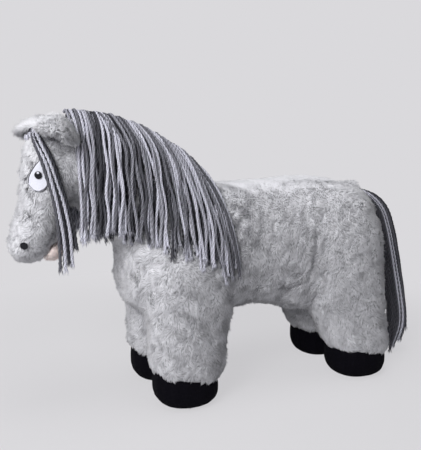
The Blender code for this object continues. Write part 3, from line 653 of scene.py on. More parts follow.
def pile(surface, per_area, length, width, fall, shade, lean=56, seed=1, swirl=1.3, hang=None, keep=None,
         smoother=1.0):
    """Locks of fur on a surface, as one block for piece_from. The lean is in degrees from upright."""
    chance = np.random.default_rng(seed)
    roots, ups = scattered(*surface, per_area, chance, keep)
    count = len(roots)
    along = lie_of_fur(roots, ups, fall, swirl, seed + 10)
    along = unit(along + chance.normal(0, 0.22, count)[:, None] * np.cross(ups, along))
    across = np.cross(ups, along)
    calm = 1 - smoother * (1 - calm_on_top(ups))
    clump = calm * waves(roots, CLUMP_SIZE, seed + 20)

    # How far each lock leans, and how long and wide it is.
    lean_now = np.radians(lean + 13 * clump + chance.normal(0, 7, count))[:, None]
    sizes = (chance.uniform(0.75, 1.2, count) * (1 - 0.12 * clump))[:, None] * length
    widths = chance.uniform(0.75, 1.25, count)[:, None] * width
    if hang is not None:
        droop = hang(roots)[:, None]
        sizes = sizes * (1 + 0.15 * droop)
        lean_now = lean_now * (1 - droop) + np.radians(HANGING_LEAN) * droop

    # The lock's lower half stands up more and its upper half lies flatter, so that it bends over.
    rise = np.cos(lean_now * 0.72) * ups + np.sin(lean_now * 0.72) * along
    flat = np.minimum(lean_now * 1.22, 1.5)
    middle = roots + rise * sizes * 0.45 + ups * widths * 0.2
    tips = middle + (np.cos(flat) * ups + np.sin(flat) * along) * sizes * 0.60
    low = roots - ups * ROOT_DEPTH
    block = np.stack([low + across * widths * 0.5, low - across * widths * 0.5, middle, tips], axis=1)
    soft_normals = np.stack([unit(ups + 0.75 * across), unit(ups - 0.75 * across), ups,
                             unit(ups + 0.6 * along)], axis=1)
    faces = (np.arange(count)[:, None, None] * 4 + SLIVER).reshape(-1, 3)

    # Its shade across the pattern map, and its way from root to tip up the map, which paints shade towards
    # the root. Where the skin faces up, the fur is painted a little darker and its roots less so.
    tone = shade(roots) + 0.12 * clump + calm * chance.normal(0, 0.13, count) - 0.07 * (1 - calm)
    tone = np.clip(tone, 0.02, 0.98)
    low_end = 0.02 + 0.5 * (1 - calm)
    along_lock = np.stack([low_end, low_end, np.full(count, 0.60), np.full(count, 0.98)], axis=1)
    places = np.stack([np.repeat(tone, 4), along_lock.ravel()], axis=1)
    return block.reshape(-1, 3), faces, places, soft_normals.reshape(-1, 3)


print("locks of", PILE_LENGTH * 1000, "mm,", LOCKS_PER_AREA // 10000, "on a square centimetre")

# %% [markdown]
# Grey plush is mottled. Shade is painted into it where little light reaches: behind the mane, low on the
# flank, under the ears and in the stitched line of the thigh. Just above the hooves the pile hangs over the
# felt, and under the felt pads of the face none grows. Each of these is a function of the place on the
# horse.
# %% Shade the fur and keep the face clear
def fur_shade(points):
    """How light the fur is, from 0 to 1."""
    x, z = points[:, 0], points[:, 2]
    tone = 0.60 + 0.04 * waves(points, 0.035, 7) + 0.05 * waves(points, 0.010, 8)
    low_flank = falling(z, 0.20, 0.10) * hump(x, 0.0, 0.09)
    behind_mane = hump(x, -0.020, 0.024) * hump(z, 0.215, 0.055)
    under_ear = hump(x, -0.236, 0.009) * hump(z, 0.3205, 0.0035)
    mottle = 1 + 0.7 * waves(points, 0.012, 12)
    # Painted shade: uneven patches low on the flank and behind the mane, and darker fur along the thigh seam
    # and under the ears.
    return (tone - 0.32 * low_flank * mottle - 0.42 * behind_mane * mottle - 0.30 * seam_nearness(points)
            - 0.6 * under_ear)


def fringe(points):
    """1 just above the hooves, where the pile hangs over the felt, and 0 elsewhere."""
    return falling(points[:, 2], 0.060, 0.010)


FACE_PADS = [pad + side for pad in ("eye_white_", "nostril_") for side in ("left", "right")]
pad_trees = {node: tree_of([node]) for node in FACE_PADS}


def clear_of_face(points):
    """False where a pad of the face lies over the skin, because no fur grows under it."""
    kept = np.ones(len(points), bool)
    for node in FACE_PADS:
        low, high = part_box(node)
        outward = outward_of(node.split("_")[-1])
        near = ((points[:, 0] > low.x) & (points[:, 0] < high.x) & (points[:, 2] > low.z)
                & (points[:, 2] < high.z))
        for i in np.nonzero(near & (points[:, 1] * outward > 0))[0]:
            start = Vector(points[i]) - Vector((0, outward * 0.01, 0))
            hit = pad_trees[node].ray_cast(start, Vector((0, outward, 0)), 0.1)[0]
            kept[i] = kept[i] and hit is None
    return kept


print(len(FACE_PADS), "pads kept clear")

# %% [markdown]
# Now each panel gets its cover: a sheet cut from the skin, given the thickness of its backing, and a pile
# grown on it. A panel at a time keeps the meshes small enough to handle, and it leaves each panel a piece
# that can be taken off again. Over the hooves the fur stops a little above the rim, as it was trimmed.
# %% Grow the fur panel by panel
FRINGE_MARGIN = {"front": 0.0050, "hind": 0.0025}
FALL = {"torso": (-0.42, 0.0, -0.9), "neck": (0.1, 0.0, -1.0), "head": (0.35, 0.0, -1.0)}
LEG_FALL = (0.0, 0.0, -1.0)
BACKING_THICKNESS = 0.003
BACKING_ROOT_SHADE = 0.02


def cut_out(index):
    """A copy of the skin with only one panel's faces left."""
    pick(skin)
    bpy.ops.object.duplicate()
    sheet = bpy.context.view_layer.objects.active
    bpy.ops.object.mode_set(mode="EDIT")
    bpy.ops.mesh.select_mode(type="FACE")
    bpy.ops.mesh.select_all(action="DESELECT")
    bpy.ops.object.mode_set(mode="OBJECT")
    sheet.data.polygons.foreach_set("select", panel_of_face != index)
    bpy.ops.object.mode_set(mode="EDIT")
    bpy.ops.mesh.delete(type="FACE")
    bpy.ops.object.mode_set(mode="OBJECT")
    return sheet


def above_felt(panel, points, triangles):
    """True for the triangles that no felt cup covers."""
    if not panel.startswith("leg"):
        return np.ones(len(triangles), bool)
    margin = FRINGE_MARGIN[panel.split("_")[1]]
    corners = points[triangles]
    facing = unit(np.cross(corners[:, 1] - corners[:, 0], corners[:, 2] - corners[:, 0]))
    centres = corners.mean(1)
    return np.array([not in_a_hoof(Vector(c), Vector(f), margin) for c, f in zip(centres, facing)])


total_locks = 0
for index, panel in enumerate(PANELS):
    sheet = cut_out(index)
    points, triangles, normals = arrays_of(sheet)
    growing = triangles[above_felt(panel, points, triangles)]
    locks = pile((points, growing, normals), LOCKS_PER_AREA, PILE_LENGTH, PILE_WIDTH,
                 FALL.get(panel, LEG_FALL), fur_shade, seed=31 + index,
                 hang=fringe if panel.startswith("leg") else None,
                 keep=clear_of_face if panel == "head" else None)
    total_locks += len(locks[0]) // 4
    shaped(sheet, "SOLIDIFY", thickness=BACKING_THICKNESS, offset=-1, use_rim=True)
    points, triangles, normals = arrays_of(sheet)
    bpy.data.objects.remove(sheet)
    tone = np.clip(fur_shade(points), 0.02, 0.98)
    # The backing is painted with the roots' shade, as if the pile shades it.
    backing = np.stack([tone, np.full(len(points), BACKING_ROOT_SHADE)], axis=1)
    fur = piece_from(panel + "_fur", [(points, triangles, backing, normals), locks], FUR)
    settle(fur, "fur", COVER[panel], fill=0.9)
print(total_locks, "locks of fur on", len(PANELS), "panels")

# %% [markdown]
# Inside every panel is loose polyester fibre. It doesn't show, but each filling is still a piece of the toy,
# so it is a soft lump with a fibre finish instead of a faceted solid.
# %% Soften the fillings
FILLING_VOXEL = 0.006

for panel in PANELS:
    lump = softened(copied([FILLING[panel]], panel + "_fibre"), FILLING_VOXEL, 6)
    lump.data.materials.append(FIBRE)
    settle(lump, "filling", FILLING[panel], fill=0.8)
bpy.data.objects.remove(skin)
print("fillings softened")

# %% [markdown]
# The hooves are cups of thick black felt. Felt has no weave: it is a smooth, matt skin with a soft rim. A
# bevel would leave an even, hard-edged rounding, so the cup is remeshed finely and smoothed instead.
# %% Shape the felt hooves
FELT_VOXEL = 0.0015

for leg in LEGS:
    cup = softened(copied(["hoof_" + leg], "hoof_felt_" + leg), FELT_VOXEL, 14)
    cup.data.materials.append(BLACK_FELT)
    settle(cup, "hoof_felt", "hoof_" + leg, fill=0.9)
print(len(LEGS), "hooves")

# %% [markdown]
# Each ear is a small stuffed shell of the same fur with a satin lining under it. The pile points outwards
# and swirls less than on the body, and it stops where the lining starts. The lining is a thin, plain shape,
# so subdividing it is enough to round it.
# %% Make the ears
SMALL_VOXEL = 0.0012
EAR_LOCKS_PER_AREA = 950000
EAR_PILE_LENGTH = 0.0056
# The near ear's fur is painted lighter than the far ear's, and the far ear is painted with shadow from its
# middle back.
EAR_TONE = {"left": 0.90, "right": 0.68}
EAR_SHADOW = {"left": 0.0, "right": 0.5}
EAR_SHADOW_FROM = -0.2440
LINING_MARGIN = 0.0016


def small_plush(node, title, rounds, tone, paint, **growth):
    """A small stuffed piece in its own pile: the solid, softened, with locks all over it."""
    sheet = softened(copied([node], title + "_sheet"), SMALL_VOXEL, rounds)
    points, triangles, normals = arrays_of(sheet)
    bpy.data.objects.remove(sheet)
    locks = pile((points, triangles, normals), **growth)
    # The backing is painted with the roots' shade, as if the pile shades it.
    backing = np.full((len(points), 2), (tone, BACKING_ROOT_SHADE))
    return piece_from(title, [(points, triangles, backing, normals), locks], paint)


def ear_shade(side):
    def shade(points):
        shadow = EAR_SHADOW[side] * rising(points[:, 0], EAR_SHADOW_FROM, 0.006)
        return EAR_TONE[side] + 0.06 * waves(points, 0.02, 9) - shadow
    return shade


def clear_of_lining(side):
    lining_tree = tree_of(["ear_lining_" + side])

    def kept(points):
        return np.array([lining_tree.find_nearest(Vector(p))[3] > LINING_MARGIN for p in points])
    return kept


for side in ("left", "right"):
    fur = small_plush("ear_" + side, "ear_fur_" + side, 8, 0.55, FUR, per_area=EAR_LOCKS_PER_AREA,
                      length=EAR_PILE_LENGTH, width=PILE_WIDTH, fall=(0.0, outward_of(side), -0.35),
                      shade=ear_shade(side), lean=48, seed=71, swirl=0.5, keep=clear_of_lining(side),
                      smoother=0.25)
    settle(fur, "fur", "ear_" + side, body="ear_" + side, fill=0.7)
    lining = copied(["ear_lining_" + side], "ear_satin_" + side)
    shaped(lining, "SUBSURF", levels=2, render_levels=2)
    smooth_shaded(lining)
    lining.data.materials.append(SATIN)
    settle(lining, "ear_lining", "ear_lining_" + side, body="ear_" + side, fill=0.2)
print("two ears")

# %% [markdown]
# The lower lip is a small cushion of pink plush under the muzzle. It is made as the ears are, with a shorter
# pile, so that it stays a clear round shape at its small size.
# %% Make the lower lip
LIP_LOCKS_PER_AREA = 800000
LIP_PILE_LENGTH = 0.0040


def lip_shade(points):
    return 0.55 + 0.1 * waves(points, 0.01, 4)


lip = small_plush("lower_lip", "lip_fur", 8, 0.5, LIP_FUR, per_area=LIP_LOCKS_PER_AREA,
                  length=LIP_PILE_LENGTH, width=PILE_WIDTH, fall=(0.2, 0.0, -1.0), shade=lip_shade, lean=55,
                  seed=91)
settle(lip, "lip_felt", "lower_lip", fill=0.7)
print("lip made")

# %% [markdown]
# Where yarn is cut, its plies open into a small brush. A round cap would look like a rope of rubber, so nine
# thin leaves stand round the strand's end, each pointing a little outwards and each of its own length.
# %% Fray the cut ends
FRAY_LEAVES = 9
FRAY_SHORTEST, FRAY_LONGEST = 0.004, 0.0085
FRAY_START = 0.002
LEAF = np.array([(1, 3, 4), (3, 2, 4), (2, 1, 4), (3, 1, 0), (2, 3, 0), (1, 2, 0)])
# The places of a leaf's points up the pattern map, which paint a little shade at its base.
LEAF_DEPTHS = [0.4, 0.6, 0.6, 0.8, 0.9]


def frayed_end(place, heading, side, other, shade, chance, radius):
    """The brush of loose fibres at a strand's cut end."""
    angles = np.linspace(0, 2 * math.pi, FRAY_LEAVES, endpoint=False) + chance.uniform(0, 1)
    out = np.cos(angles)[:, None] * side + np.sin(angles)[:, None] * other
    flare = chance.uniform(0.08, 0.42, FRAY_LEAVES)[:, None]
    long = chance.uniform(FRAY_SHORTEST, FRAY_LONGEST, FRAY_LEAVES)[:, None]
    directions = unit(heading + flare * out)
    cross = np.cross(directions, out)
    width = radius * 0.55
    base = place + out * radius * 0.55 - heading * FRAY_START
    tips = base + directions * long + heading * FRAY_START
    middle = base + directions * long * 0.6
    points = np.stack([base, middle + cross * width * 0.6, middle - cross * width * 0.6,
                       middle + out * width * 0.6, tips], axis=1).reshape(-1, 3)
    faces = (np.arange(FRAY_LEAVES)[:, None, None] * 5 + LEAF).reshape(-1, 3)
    tone = np.clip(shade + 0.15 + chance.normal(0, 0.05, FRAY_LEAVES), 0.02, 0.98)
    places = np.stack([np.repeat(tone, 5), np.tile(LEAF_DEPTHS, FRAY_LEAVES)], axis=1)
    return points, faces, places


print(FRAY_LEAVES, "leaves in a brush")

# %% [markdown]
# A strand of craft yarn is three plies twisted round each other, about 3 mm thick. Three separate tubes
# would be three times the mesh for what is seen only from near. Here it is one tube with three lobes, which
# turn as they run along it. Each strand has its own shade, from charcoal to pale grey, and the valleys
# between its plies carry painted shade, which the pattern map holds.
# %% Spin a strand of yarn
YARN_RADIUS = 0.00158
THICK_YARN_RADIUS = 0.0018
TAIL_YARN_RADIUS = 0.0016
TWIST_PITCH = 0.0200
PLIES = 3
PLY_HEIGHT = 0.28
STRAND_SIDES = 9
STRAND_STEP = 0.0018
END_LENGTH = 0.012
OFF_AXIS = np.array([0.13, 0.21, 0.97])


def smooth_path(path, step):
    """The path resampled to even steps, with its corners rounded."""
    path = np.array(path, float)
    for _ in range(3):
        inner = 0.25 * path[:-2] + 0.5 * path[1:-1] + 0.25 * path[2:]
        path = np.concatenate([path[:1], inner, path[-1:]])
    lengths = np.concatenate([[0], np.cumsum(np.linalg.norm(np.diff(path, axis=0), axis=1))])
    count = max(6, int(lengths[-1] / step))
    places = np.linspace(0, lengths[-1], count)
    return np.stack([np.interp(places, lengths, path[:, i]) for i in range(3)], axis=1)


def tube_faces(rings):
    """The triangles of a tube of rings, closed by one more point at each end."""
    n = STRAND_SIDES
    index = np.arange(rings * n).reshape(rings, n)
    a, b = index[:-1], index[1:]
    a2, b2 = np.roll(a, -1, axis=1), np.roll(b, -1, axis=1)
    first, last = rings * n, rings * n + 1
    return np.concatenate([
        np.stack([a, a2, b], -1).reshape(-1, 3),
        np.stack([a2, b2, b], -1).reshape(-1, 3),
        np.stack([index[0], np.full(n, first), np.roll(index[0], -1)], -1),
        np.stack([index[-1], np.roll(index[-1], -1), np.full(n, last)], -1)])


def strand(path, shade, chance, radius=YARN_RADIUS, step=STRAND_STEP, brush=True):
    """One strand of yarn along a path, as blocks for piece_from."""
    line = smooth_path(path, step)
    heading = unit(np.gradient(line, axis=0))
    side = unit(np.cross(heading, OFF_AXIS + 0 * heading) + 1e-6)
    other = np.cross(heading, side)
    angles = np.linspace(0, 2 * math.pi, STRAND_SIDES, endpoint=False)
    distance = np.concatenate([[0], np.cumsum(np.linalg.norm(np.diff(line, axis=0), axis=1))])
    turn = 2 * math.pi * distance / TWIST_PITCH + chance.uniform(0, 6.28)
    lobe = np.cos(PLIES * (angles[None, :] - turn[:, None]))
    uneven = 1 + 0.07 * np.sin(distance / 0.006 + chance.uniform(0, 6.28))
    reach = radius * uneven[:, None] * (1 + PLY_HEIGHT * lobe)
    reach[0] *= 0.5
    reach[-1] *= 0.9
    ring = (np.cos(angles)[None, :, None] * side[:, None, :]
            + np.sin(angles)[None, :, None] * other[:, None, :])
    points = (line[:, None, :] + ring * reach[:, :, None]).reshape(-1, 3)
    ends = np.array([line[0] - heading[0] * radius * 0.3, line[-1] + heading[-1] * radius * 0.3])
    points = np.concatenate([points, ends])

    # The plies are painted lighter and the valleys between them get painted shade, and the strand is a
    # little lighter at its cut end.
    along = 0.9 * np.clip((distance[-1] - distance) / END_LENGTH, 0, 1)
    along = np.repeat(along[:, None], STRAND_SIDES, axis=1)
    tone = np.clip(shade + 0.13 * lobe + 0.10 * (1 - along / 0.9), 0.02, 0.98)
    depth = np.clip(0.45 + 0.5 * lobe, 0.02, 0.98)
    places = np.stack([tone.ravel(), depth.ravel()], axis=1)
    places = np.concatenate([places, [(shade, 0.5), (min(shade + 0.1, 0.98), 0.5)]])
    blocks = [(points, tube_faces(len(line)), places)]
    if brush:
        blocks.append(frayed_end(line[-1], heading[-1], side[-1], other[-1], shade, chance, radius))
    return blocks


def strand_shade(chance, pale, dark):
    """A pale, middle or dark shade. The two shares say how many strands are pale and how many dark."""
    draw = chance.random()
    if draw < pale:
        return chance.uniform(0.80, 0.98)
    if draw < 1 - dark:
        return chance.uniform(0.46, 0.70)
    return chance.uniform(0.10, 0.34)


print("yarn of", round(YARN_RADIUS * 2000, 1), "mm")

# %% [markdown]
# The eye is a felt teardrop with a stitched pupil and a small white glint, and the nostril is a patch of
# black stitches. Each is a thin pad that follows the head, which a flat disc pressed on it wouldn't do. A
# copy of the solid is subdivided, which rounds its edge and shrinks it a little, so it is brought back to
# the solid's size. A row of thread runs round the white felt, dark along its upper lid and pale below.
# %% Sew on the face
PAD_FILL = 0.3
PADS = (
    ("eye_white_", "eye_felt_", WHITE_FELT, "white_felt"),
    ("pupil_", "pupil_thread_", BLACK_THREAD, "black_thread"),
    ("eye_glint_", "eye_glint_felt_", WHITE_FELT, "white_felt"),
    ("nostril_", "nostril_thread_", BLACK_THREAD, "black_thread"))
# Each row of thread: the angles where it starts and ends round the eye, its shade and its seed.
EYE_ROWS = ((88, 215, 0.24, 5), (218, 440, 0.66, 6))
THREAD_RADIUS = 0.00048
THREAD_STEP = 0.0012
STITCHES = 22
STITCH_REACH = 7
THREAD_LIFT = 0.0004


def rounded_pad(node, title, paint):
    pad = copied([node], title)
    low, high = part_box(node)
    shaped(pad, "SUBSURF", levels=2, render_levels=2)
    spots, _, _ = arrays_of(pad)
    middle = (spots.max(0) + spots.min(0)) / 2
    grow = (np.array(high) - np.array(low)) / (spots.max(0) - spots.min(0))
    spots = (np.array(high) + np.array(low)) / 2 + (spots - middle) * grow
    pad.data.vertices.foreach_set("co", spots.ravel())
    pad.data.update()
    smooth_shaded(pad)
    pad.data.materials.append(paint)
    return pad


def stitched_rim(pad, outward, first, last, shade, seed):
    """A row of thread along part of a pad's edge, between two angles round its middle."""
    spots, _, _ = arrays_of(pad)
    middle = (spots.max(0) + spots.min(0)) / 2
    flat = spots[:, [0, 2]] - middle[[0, 2]]
    angles = np.degrees(np.arctan2(flat[:, 1], flat[:, 0])) % 360
    radii = np.linalg.norm(flat, axis=1)
    path = []
    for angle in np.linspace(first, last, STITCHES):
        near = np.nonzero(np.abs((angles - angle + 180) % 360 - 180) < STITCH_REACH)[0]
        spot = spots[near[radii[near].argmax()]]
        path.append((spot[0], spot[1] + outward * THREAD_LIFT, spot[2]))
    chance = np.random.default_rng(seed)
    return strand(path, shade, chance, radius=THREAD_RADIUS, step=THREAD_STEP, brush=False)


for side in ("left", "right"):
    for node, title, paint, slot in PADS:
        pad = rounded_pad(node + side, title + side, paint)
        if node == "eye_white_":
            blocks = []
            for row in EYE_ROWS:
                blocks += stitched_rim(pad, outward_of(side), *row)
            rim = piece_from("eye_rim_" + side, blocks, YARN)
            pick(pad, rim)
            bpy.ops.object.join()
        settle(pad, slot, node + side, fill=PAD_FILL)
print("face sewn on")

# %% [markdown]
# The mane's strands are sewn in along the crest of the neck and fall to both sides. Strands that only hung
# from straight lines would cut through each other and through the neck. So they follow two surfaces of the
# solids, which are probed with rays: the height of the crest from above, and the outer face of the mane from
# the side. The gaps between the locks in that face are filled, so that the strands flow over them.
# %% Probe the crest and the mane's outer face
RIDGE_TREE = tree_of(["mane_ridge"])
LOCKS = range(1, 7)
GRID = 0.002
FILL_ROUNDS = 20
SMOOTH_ROUNDS = 6
ABOVE = 0.6
ASIDE = 0.4


def top_of(tree, x):
    """The highest spot of a solid over the horse's middle line, or None."""
    return tree.ray_cast(Vector((x, 0.0, ABOVE)), Vector((0, 0, -1)), 1.0)[0]


def crest_line():
    """The height of the crest along X, as two lists."""
    xs = np.arange(-0.2035, -0.0385, 0.003)
    hits = [top_of(RIDGE_TREE, x) for x in xs]
    return [x for x, h in zip(xs, hits) if h], [h.z for h in hits if h]


CREST_X, CREST_Z = crest_line()


def crest_height(x):
    return float(np.interp(x, CREST_X, CREST_Z))


def neighbours(padded):
    """For each spot of the grid, the reach of its four neighbours."""
    return padded[1:-1, :-2], padded[1:-1, 2:], padded[:-2, 1:-1], padded[2:, 1:-1]


def side_surface(side):
    """How far out the mane reaches on one side, on a grid along X and Z."""
    outward = outward_of(side)
    tree = tree_of([f"mane_lock_{side}_{n}" for n in LOCKS])
    xs, zs = np.arange(-0.236, 0.004, GRID), np.arange(0.11, 0.36, GRID)
    reach = np.zeros((len(zs), len(xs)))
    for row, z in enumerate(zs):
        for column, x in enumerate(xs):
            hit = tree.ray_cast(Vector((x, outward * ASIDE, z)), Vector((0, -outward, 0)), ASIDE)[0]
            reach[row, column] = abs(hit.y) if hit is not None else 0
    for _ in range(FILL_ROUNDS):
        around = np.stack(neighbours(np.pad(reach, 1)))
        filled = around.sum(0) / np.maximum((around > 0).sum(0), 1)
        reach = np.where(reach > 0, reach, filled)
    for _ in range(SMOOTH_ROUNDS):
        left, right, below, over = neighbours(np.pad(reach, 1, mode="edge"))
        reach = (left + right + below + over + 2 * reach) / 6
    return xs, zs, reach


def reach_at(surface, x, z):
    """The reach at one place, evened out between the grid's nearest four."""
    xs, zs, reach = surface
    column = min(max((x - xs[0]) / GRID, 0), len(xs) - 1.001)
    row = min(max((z - zs[0]) / GRID, 0), len(zs) - 1.001)
    c, r = int(column), int(row)
    a, b = column - c, row - r
    return ((reach[r, c] * (1 - a) + reach[r, c + 1] * a) * (1 - b)
            + (reach[r + 1, c] * (1 - a) + reach[r + 1, c + 1] * a) * b)


def bottom_of(node):
    """Where the lock's lower end starts and ends along X, and its height."""
    spots = np.array([v.co[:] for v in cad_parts[node].data.vertices])
    ends = spots[spots[:, 2] < spots[:, 2].min() + 0.012]
    return ends[:, 0].min(), ends[:, 0].max(), spots[:, 2].min()


def hanging_ranges(side):
    """Where each lock's strands hang along X, one lock next to the other, and how low they reach."""
    ends = [bottom_of(f"mane_lock_{side}_{n}") for n in LOCKS]
    between = [(a[1] + b[0]) / 2 for a, b in zip(ends[:-1], ends[1:])]
    edges = [ends[0][0] + 0.006] + between + [ends[-1][1] + 0.002]
    return [(front, rear, end[2]) for front, rear, end in zip(edges[:-1], edges[1:], ends)]


print("crest from", round(max(CREST_Z), 3), "down to", round(min(CREST_Z), 3))

# %% [markdown]
# Each strand leaves the ridge on the crest, rises over it, sweeps back and then hangs down. The sweep dies
# away with the way down, fast at first and slower later, as a falling strand bends. A small sway of its own
# keeps a strand from running exactly beside its neighbour.
# %% Lead a strand of the mane
ROOT_FRONT, ROOT_REAR = -0.206, -0.058
DROP_START, DROP_END, DROP_STEP = 0.005, 0.30, 0.004
CLOSEST_TO_MIDDLE = 0.009


def mane_path(surface, outward, hang_x, root_x, bend, depth, end_z, rise, chance):
    """The path of one strand from the ridge over the crest and down to its end."""
    ridge = crest_height(root_x)
    sweep = (hang_x - root_x) / (1 - math.exp(-(crest_height(hang_x) - end_z) / bend))
    path = [(root_x, 0.0, ridge - 0.003), (root_x + 0.03 * sweep, outward * 0.0035, ridge + rise),
            (root_x + 0.09 * sweep, outward * 0.0085, ridge + rise * 0.4)]
    sway, wobble = chance.uniform(0.0008, 0.0026), chance.uniform(0, 6.28)
    wave = chance.uniform(0.050, 0.110)
    for drop in np.arange(DROP_START, DROP_END, DROP_STEP):
        x = root_x + sweep * (1 - math.exp(-drop / bend))
        x += sway * math.sin(wobble + 6.28 * drop / wave) * min(drop / 0.03, 1)
        z = crest_height(x) - drop
        if z < end_z:
            break
        out = reach_at(surface, x, z) - depth
        out = out + 0.0005 * math.sin(2 * wobble + 6.28 * drop / (0.7 * wave))
        path.append((x, outward * max(out, CLOSEST_TO_MIDDLE), z))
    return path


print("strands sewn in from", ROOT_FRONT, "to", ROOT_REAR)

# %% [markdown]
# Each lock of the mane is three rows of strands. The inner row is dense and dark and closes the view of the
# neck; its dark is partly charcoal yarn and partly painted shade for the gaps between the outer strands, and
# in the first lock it is painted lighter where it hangs in deep shade. The two outer rows are looser and
# mixed from pale and grey strands. The mix isn't even on a real mane, where yarns of one shade fall
# together: a table says how pale the bundle is at each place along it.
# %% Hang the mane
# Each row: the distance between strands, how deep it lies, and its shares of pale and of dark strands.
MANE_ROWS = ((0.0031, 0.0076, 0.0, 1.0), (0.0047, 0.0022, 1.0, 0.16), (0.0085, -0.0010, 1.1, 0.12))
# The first lock's inner row has fewer dark strands: painted light where it hangs in deep shade behind the
# head.
FIRST_LOCK_INNER_ROW_WITH_PAINTED_LIGHT = (0.0031, 0.0076, 0.2, 0.1)
BUNDLE_X = (-0.208, -0.196, -0.183, -0.165, -0.150, -0.137,
            -0.125, -0.105, -0.085, -0.070, -0.046, -0.031)
BUNDLE_PALE = (0.52, 0.34, 0.62, 0.56, 0.26, 0.06, 0.50, 0.58, 0.40, 0.56, 0.34, 0.16)


def lock_of_mane(side, number, surface, ranges):
    """Makes one lock and returns how many strands it has."""
    chance = np.random.default_rng(100 * number + (7 if side == "left" else 8))
    front, rear, low = ranges[number - 1]
    blocks = []
    for row, (pitch, depth, pale, dark) in enumerate(MANE_ROWS):
        if number == 1 and row == 0:
            pitch, depth, pale, dark = FIRST_LOCK_INNER_ROW_WITH_PAINTED_LIGHT
        count = round((rear - front) / pitch)
        for place in range(count):
            share = (place + 0.5 + chance.normal(0, 0.25)) / count
            hang_x = front + (rear - front) * share
            bundle = float(np.interp(hang_x, BUNDLE_X, BUNDLE_PALE))
            whole = (hang_x - ranges[0][0]) / (ranges[-1][1] - ranges[0][0])
            root_x = ROOT_FRONT + (ROOT_REAR - ROOT_FRONT) * whole + chance.normal(0, 0.005)
            rise = chance.uniform(0.001, 0.004) + 0.002 * (row == 2) + 0.003 * math.exp(-(whole / 0.15) ** 2)
            bend = chance.uniform(0.016, 0.042) + 0.16 * max(0.0, whole - 0.6)
            end_z = low + chance.uniform(-0.004, 0.013) + 0.003 * (row == 0)
            path = mane_path(surface, outward_of(side), hang_x, root_x, bend, depth, end_z, rise, chance)
            darker = dark + 1.4 * max(0.0, 0.36 - bundle)
            blocks += strand(path, strand_shade(chance, pale * bundle, darker), chance)
    piece = piece_from(f"mane_yarn_{side}_{number}", blocks, YARN)
    settle(piece, "mane_yarn", f"mane_lock_{side}_{number}", body=f"mane_{side}_{number}")
    return len(blocks) // 2


strand_count = 0
for side in ("left", "right"):
    surface = side_surface(side)
    ranges = hanging_ranges(side)
    for number in LOCKS:
        strand_count += lock_of_mane(side, number, surface, ranges)
print(strand_count, "strands in the mane")

# %% [markdown]
# Along the crest the yarn is folded over a sewn tape. The folds make a ridge of small loops between both
# sides, which a plain roll of yarn along the crest wouldn't show. The forelock starts from a shorter ridge
# of pale yarn between the ears.
# %% Sew the ridges and the tape
LOOP_EVERY = 0.0036
LOOP_HALF_WIDTH = 0.0046
LOOP_HEIGHT = 0.0045
LOOP_DEPTH = 0.0058


def ridge_loops(title, first_x, last_x, tree, pale, dark):
    """A row of loops over a ridge, each from one side over the top to the other."""
    chance = np.random.default_rng(55)
    blocks = []
    for x in np.arange(first_x, last_x, LOOP_EVERY):
        top = top_of(tree, x)
        if top is None:
            continue
        loop = [(x + chance.normal(0, 0.0006), LOOP_HALF_WIDTH * math.cos(a),
                 top.z - LOOP_DEPTH + LOOP_HEIGHT * math.sin(a))
                for a in np.linspace(-0.2, math.pi + 0.2, 9)]
        shade = strand_shade(chance, pale, dark)
        blocks += strand(loop, shade, chance, radius=THICK_YARN_RADIUS, brush=False)
    return piece_from(title, blocks, YARN)


low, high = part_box("mane_ridge")
ridge = ridge_loops("mane_ridge_yarn", low.x + 0.005, high.x - 0.003, RIDGE_TREE, pale=0.38, dark=0.30)
settle(ridge, "mane_yarn", "mane_ridge")
low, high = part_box("forelock_ridge")
ridge = ridge_loops("forelock_ridge_yarn", low.x + 0.002, high.x - 0.001, tree_of(["forelock_ridge"]),
                    pale=1.0, dark=0.0)
settle(ridge, "mane_yarn", "forelock_ridge")
tape = copied(["mane_tape"], "mane_tape_band")
shaped(tape, "SUBSURF", levels=1, render_levels=1)
tape.data.materials.append(TAPE)
settle(tape, "mane_tape", "mane_tape")
print("ridges and tape")

# %% [markdown]
# The forelock's two locks start between the ears and hang over the cheeks. They have only eight strands
# each, so every strand shows and chance would mix them badly. Instead each has a row in a table, and the
# solid is probed from the side at many heights to see where its strands can lie.
# %% Hang the forelock
# Each strand: its place across the lock, its shade, how deep it lies and how much shorter it is cut.
FORELOCK_STRANDS = ((0.30, 0.06, 0.0030, 0.006), (0.62, 0.06, 0.0030, 0.012), (0.92, 0.06, 0.0030, 0.022),
                    (0.10, 0.40, 0.0, -0.002), (0.33, 0.85, 0.0, -0.003), (0.53, 0.10, 0.0010, 0.006),
                    (0.72, 0.88, 0.0, 0.004), (0.98, 0.16, 0.0008, 0.020))
FORELOCK_SEED = {"left": 21, "right": 22}
FORELOCK_PROBES = 40
FORELOCK_LEVELS = 26
HALF_STRAND = 0.0016


def lock_probe(node, outward):
    """For a set of heights, where the lock starts and ends along X, and how far out its face lies."""
    tree = tree_of([node])
    low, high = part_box(node)
    rows = []
    for z in np.linspace(high.z - 0.0015, low.z + 0.0015, FORELOCK_LEVELS):
        hits = []
        for x in np.linspace(low.x + 0.0003, high.x - 0.0003, FORELOCK_PROBES):
            hit = tree.ray_cast(Vector((x, outward * ASIDE, z)), Vector((0, -outward, 0)), 2 * ASIDE)[0]
            if hit is not None:
                hits.append((x, abs(hit.y)))
        if len(hits) > 2:
            rows.append((z, hits[0][0], hits[-1][0], [h[0] for h in hits], [h[1] for h in hits]))
    return rows


def fallen_share(rows, z):
    """0 at the highest of the probed rows and 1 at the lowest."""
    return (rows[0][0] - z) / (rows[0][0] - rows[-1][0])


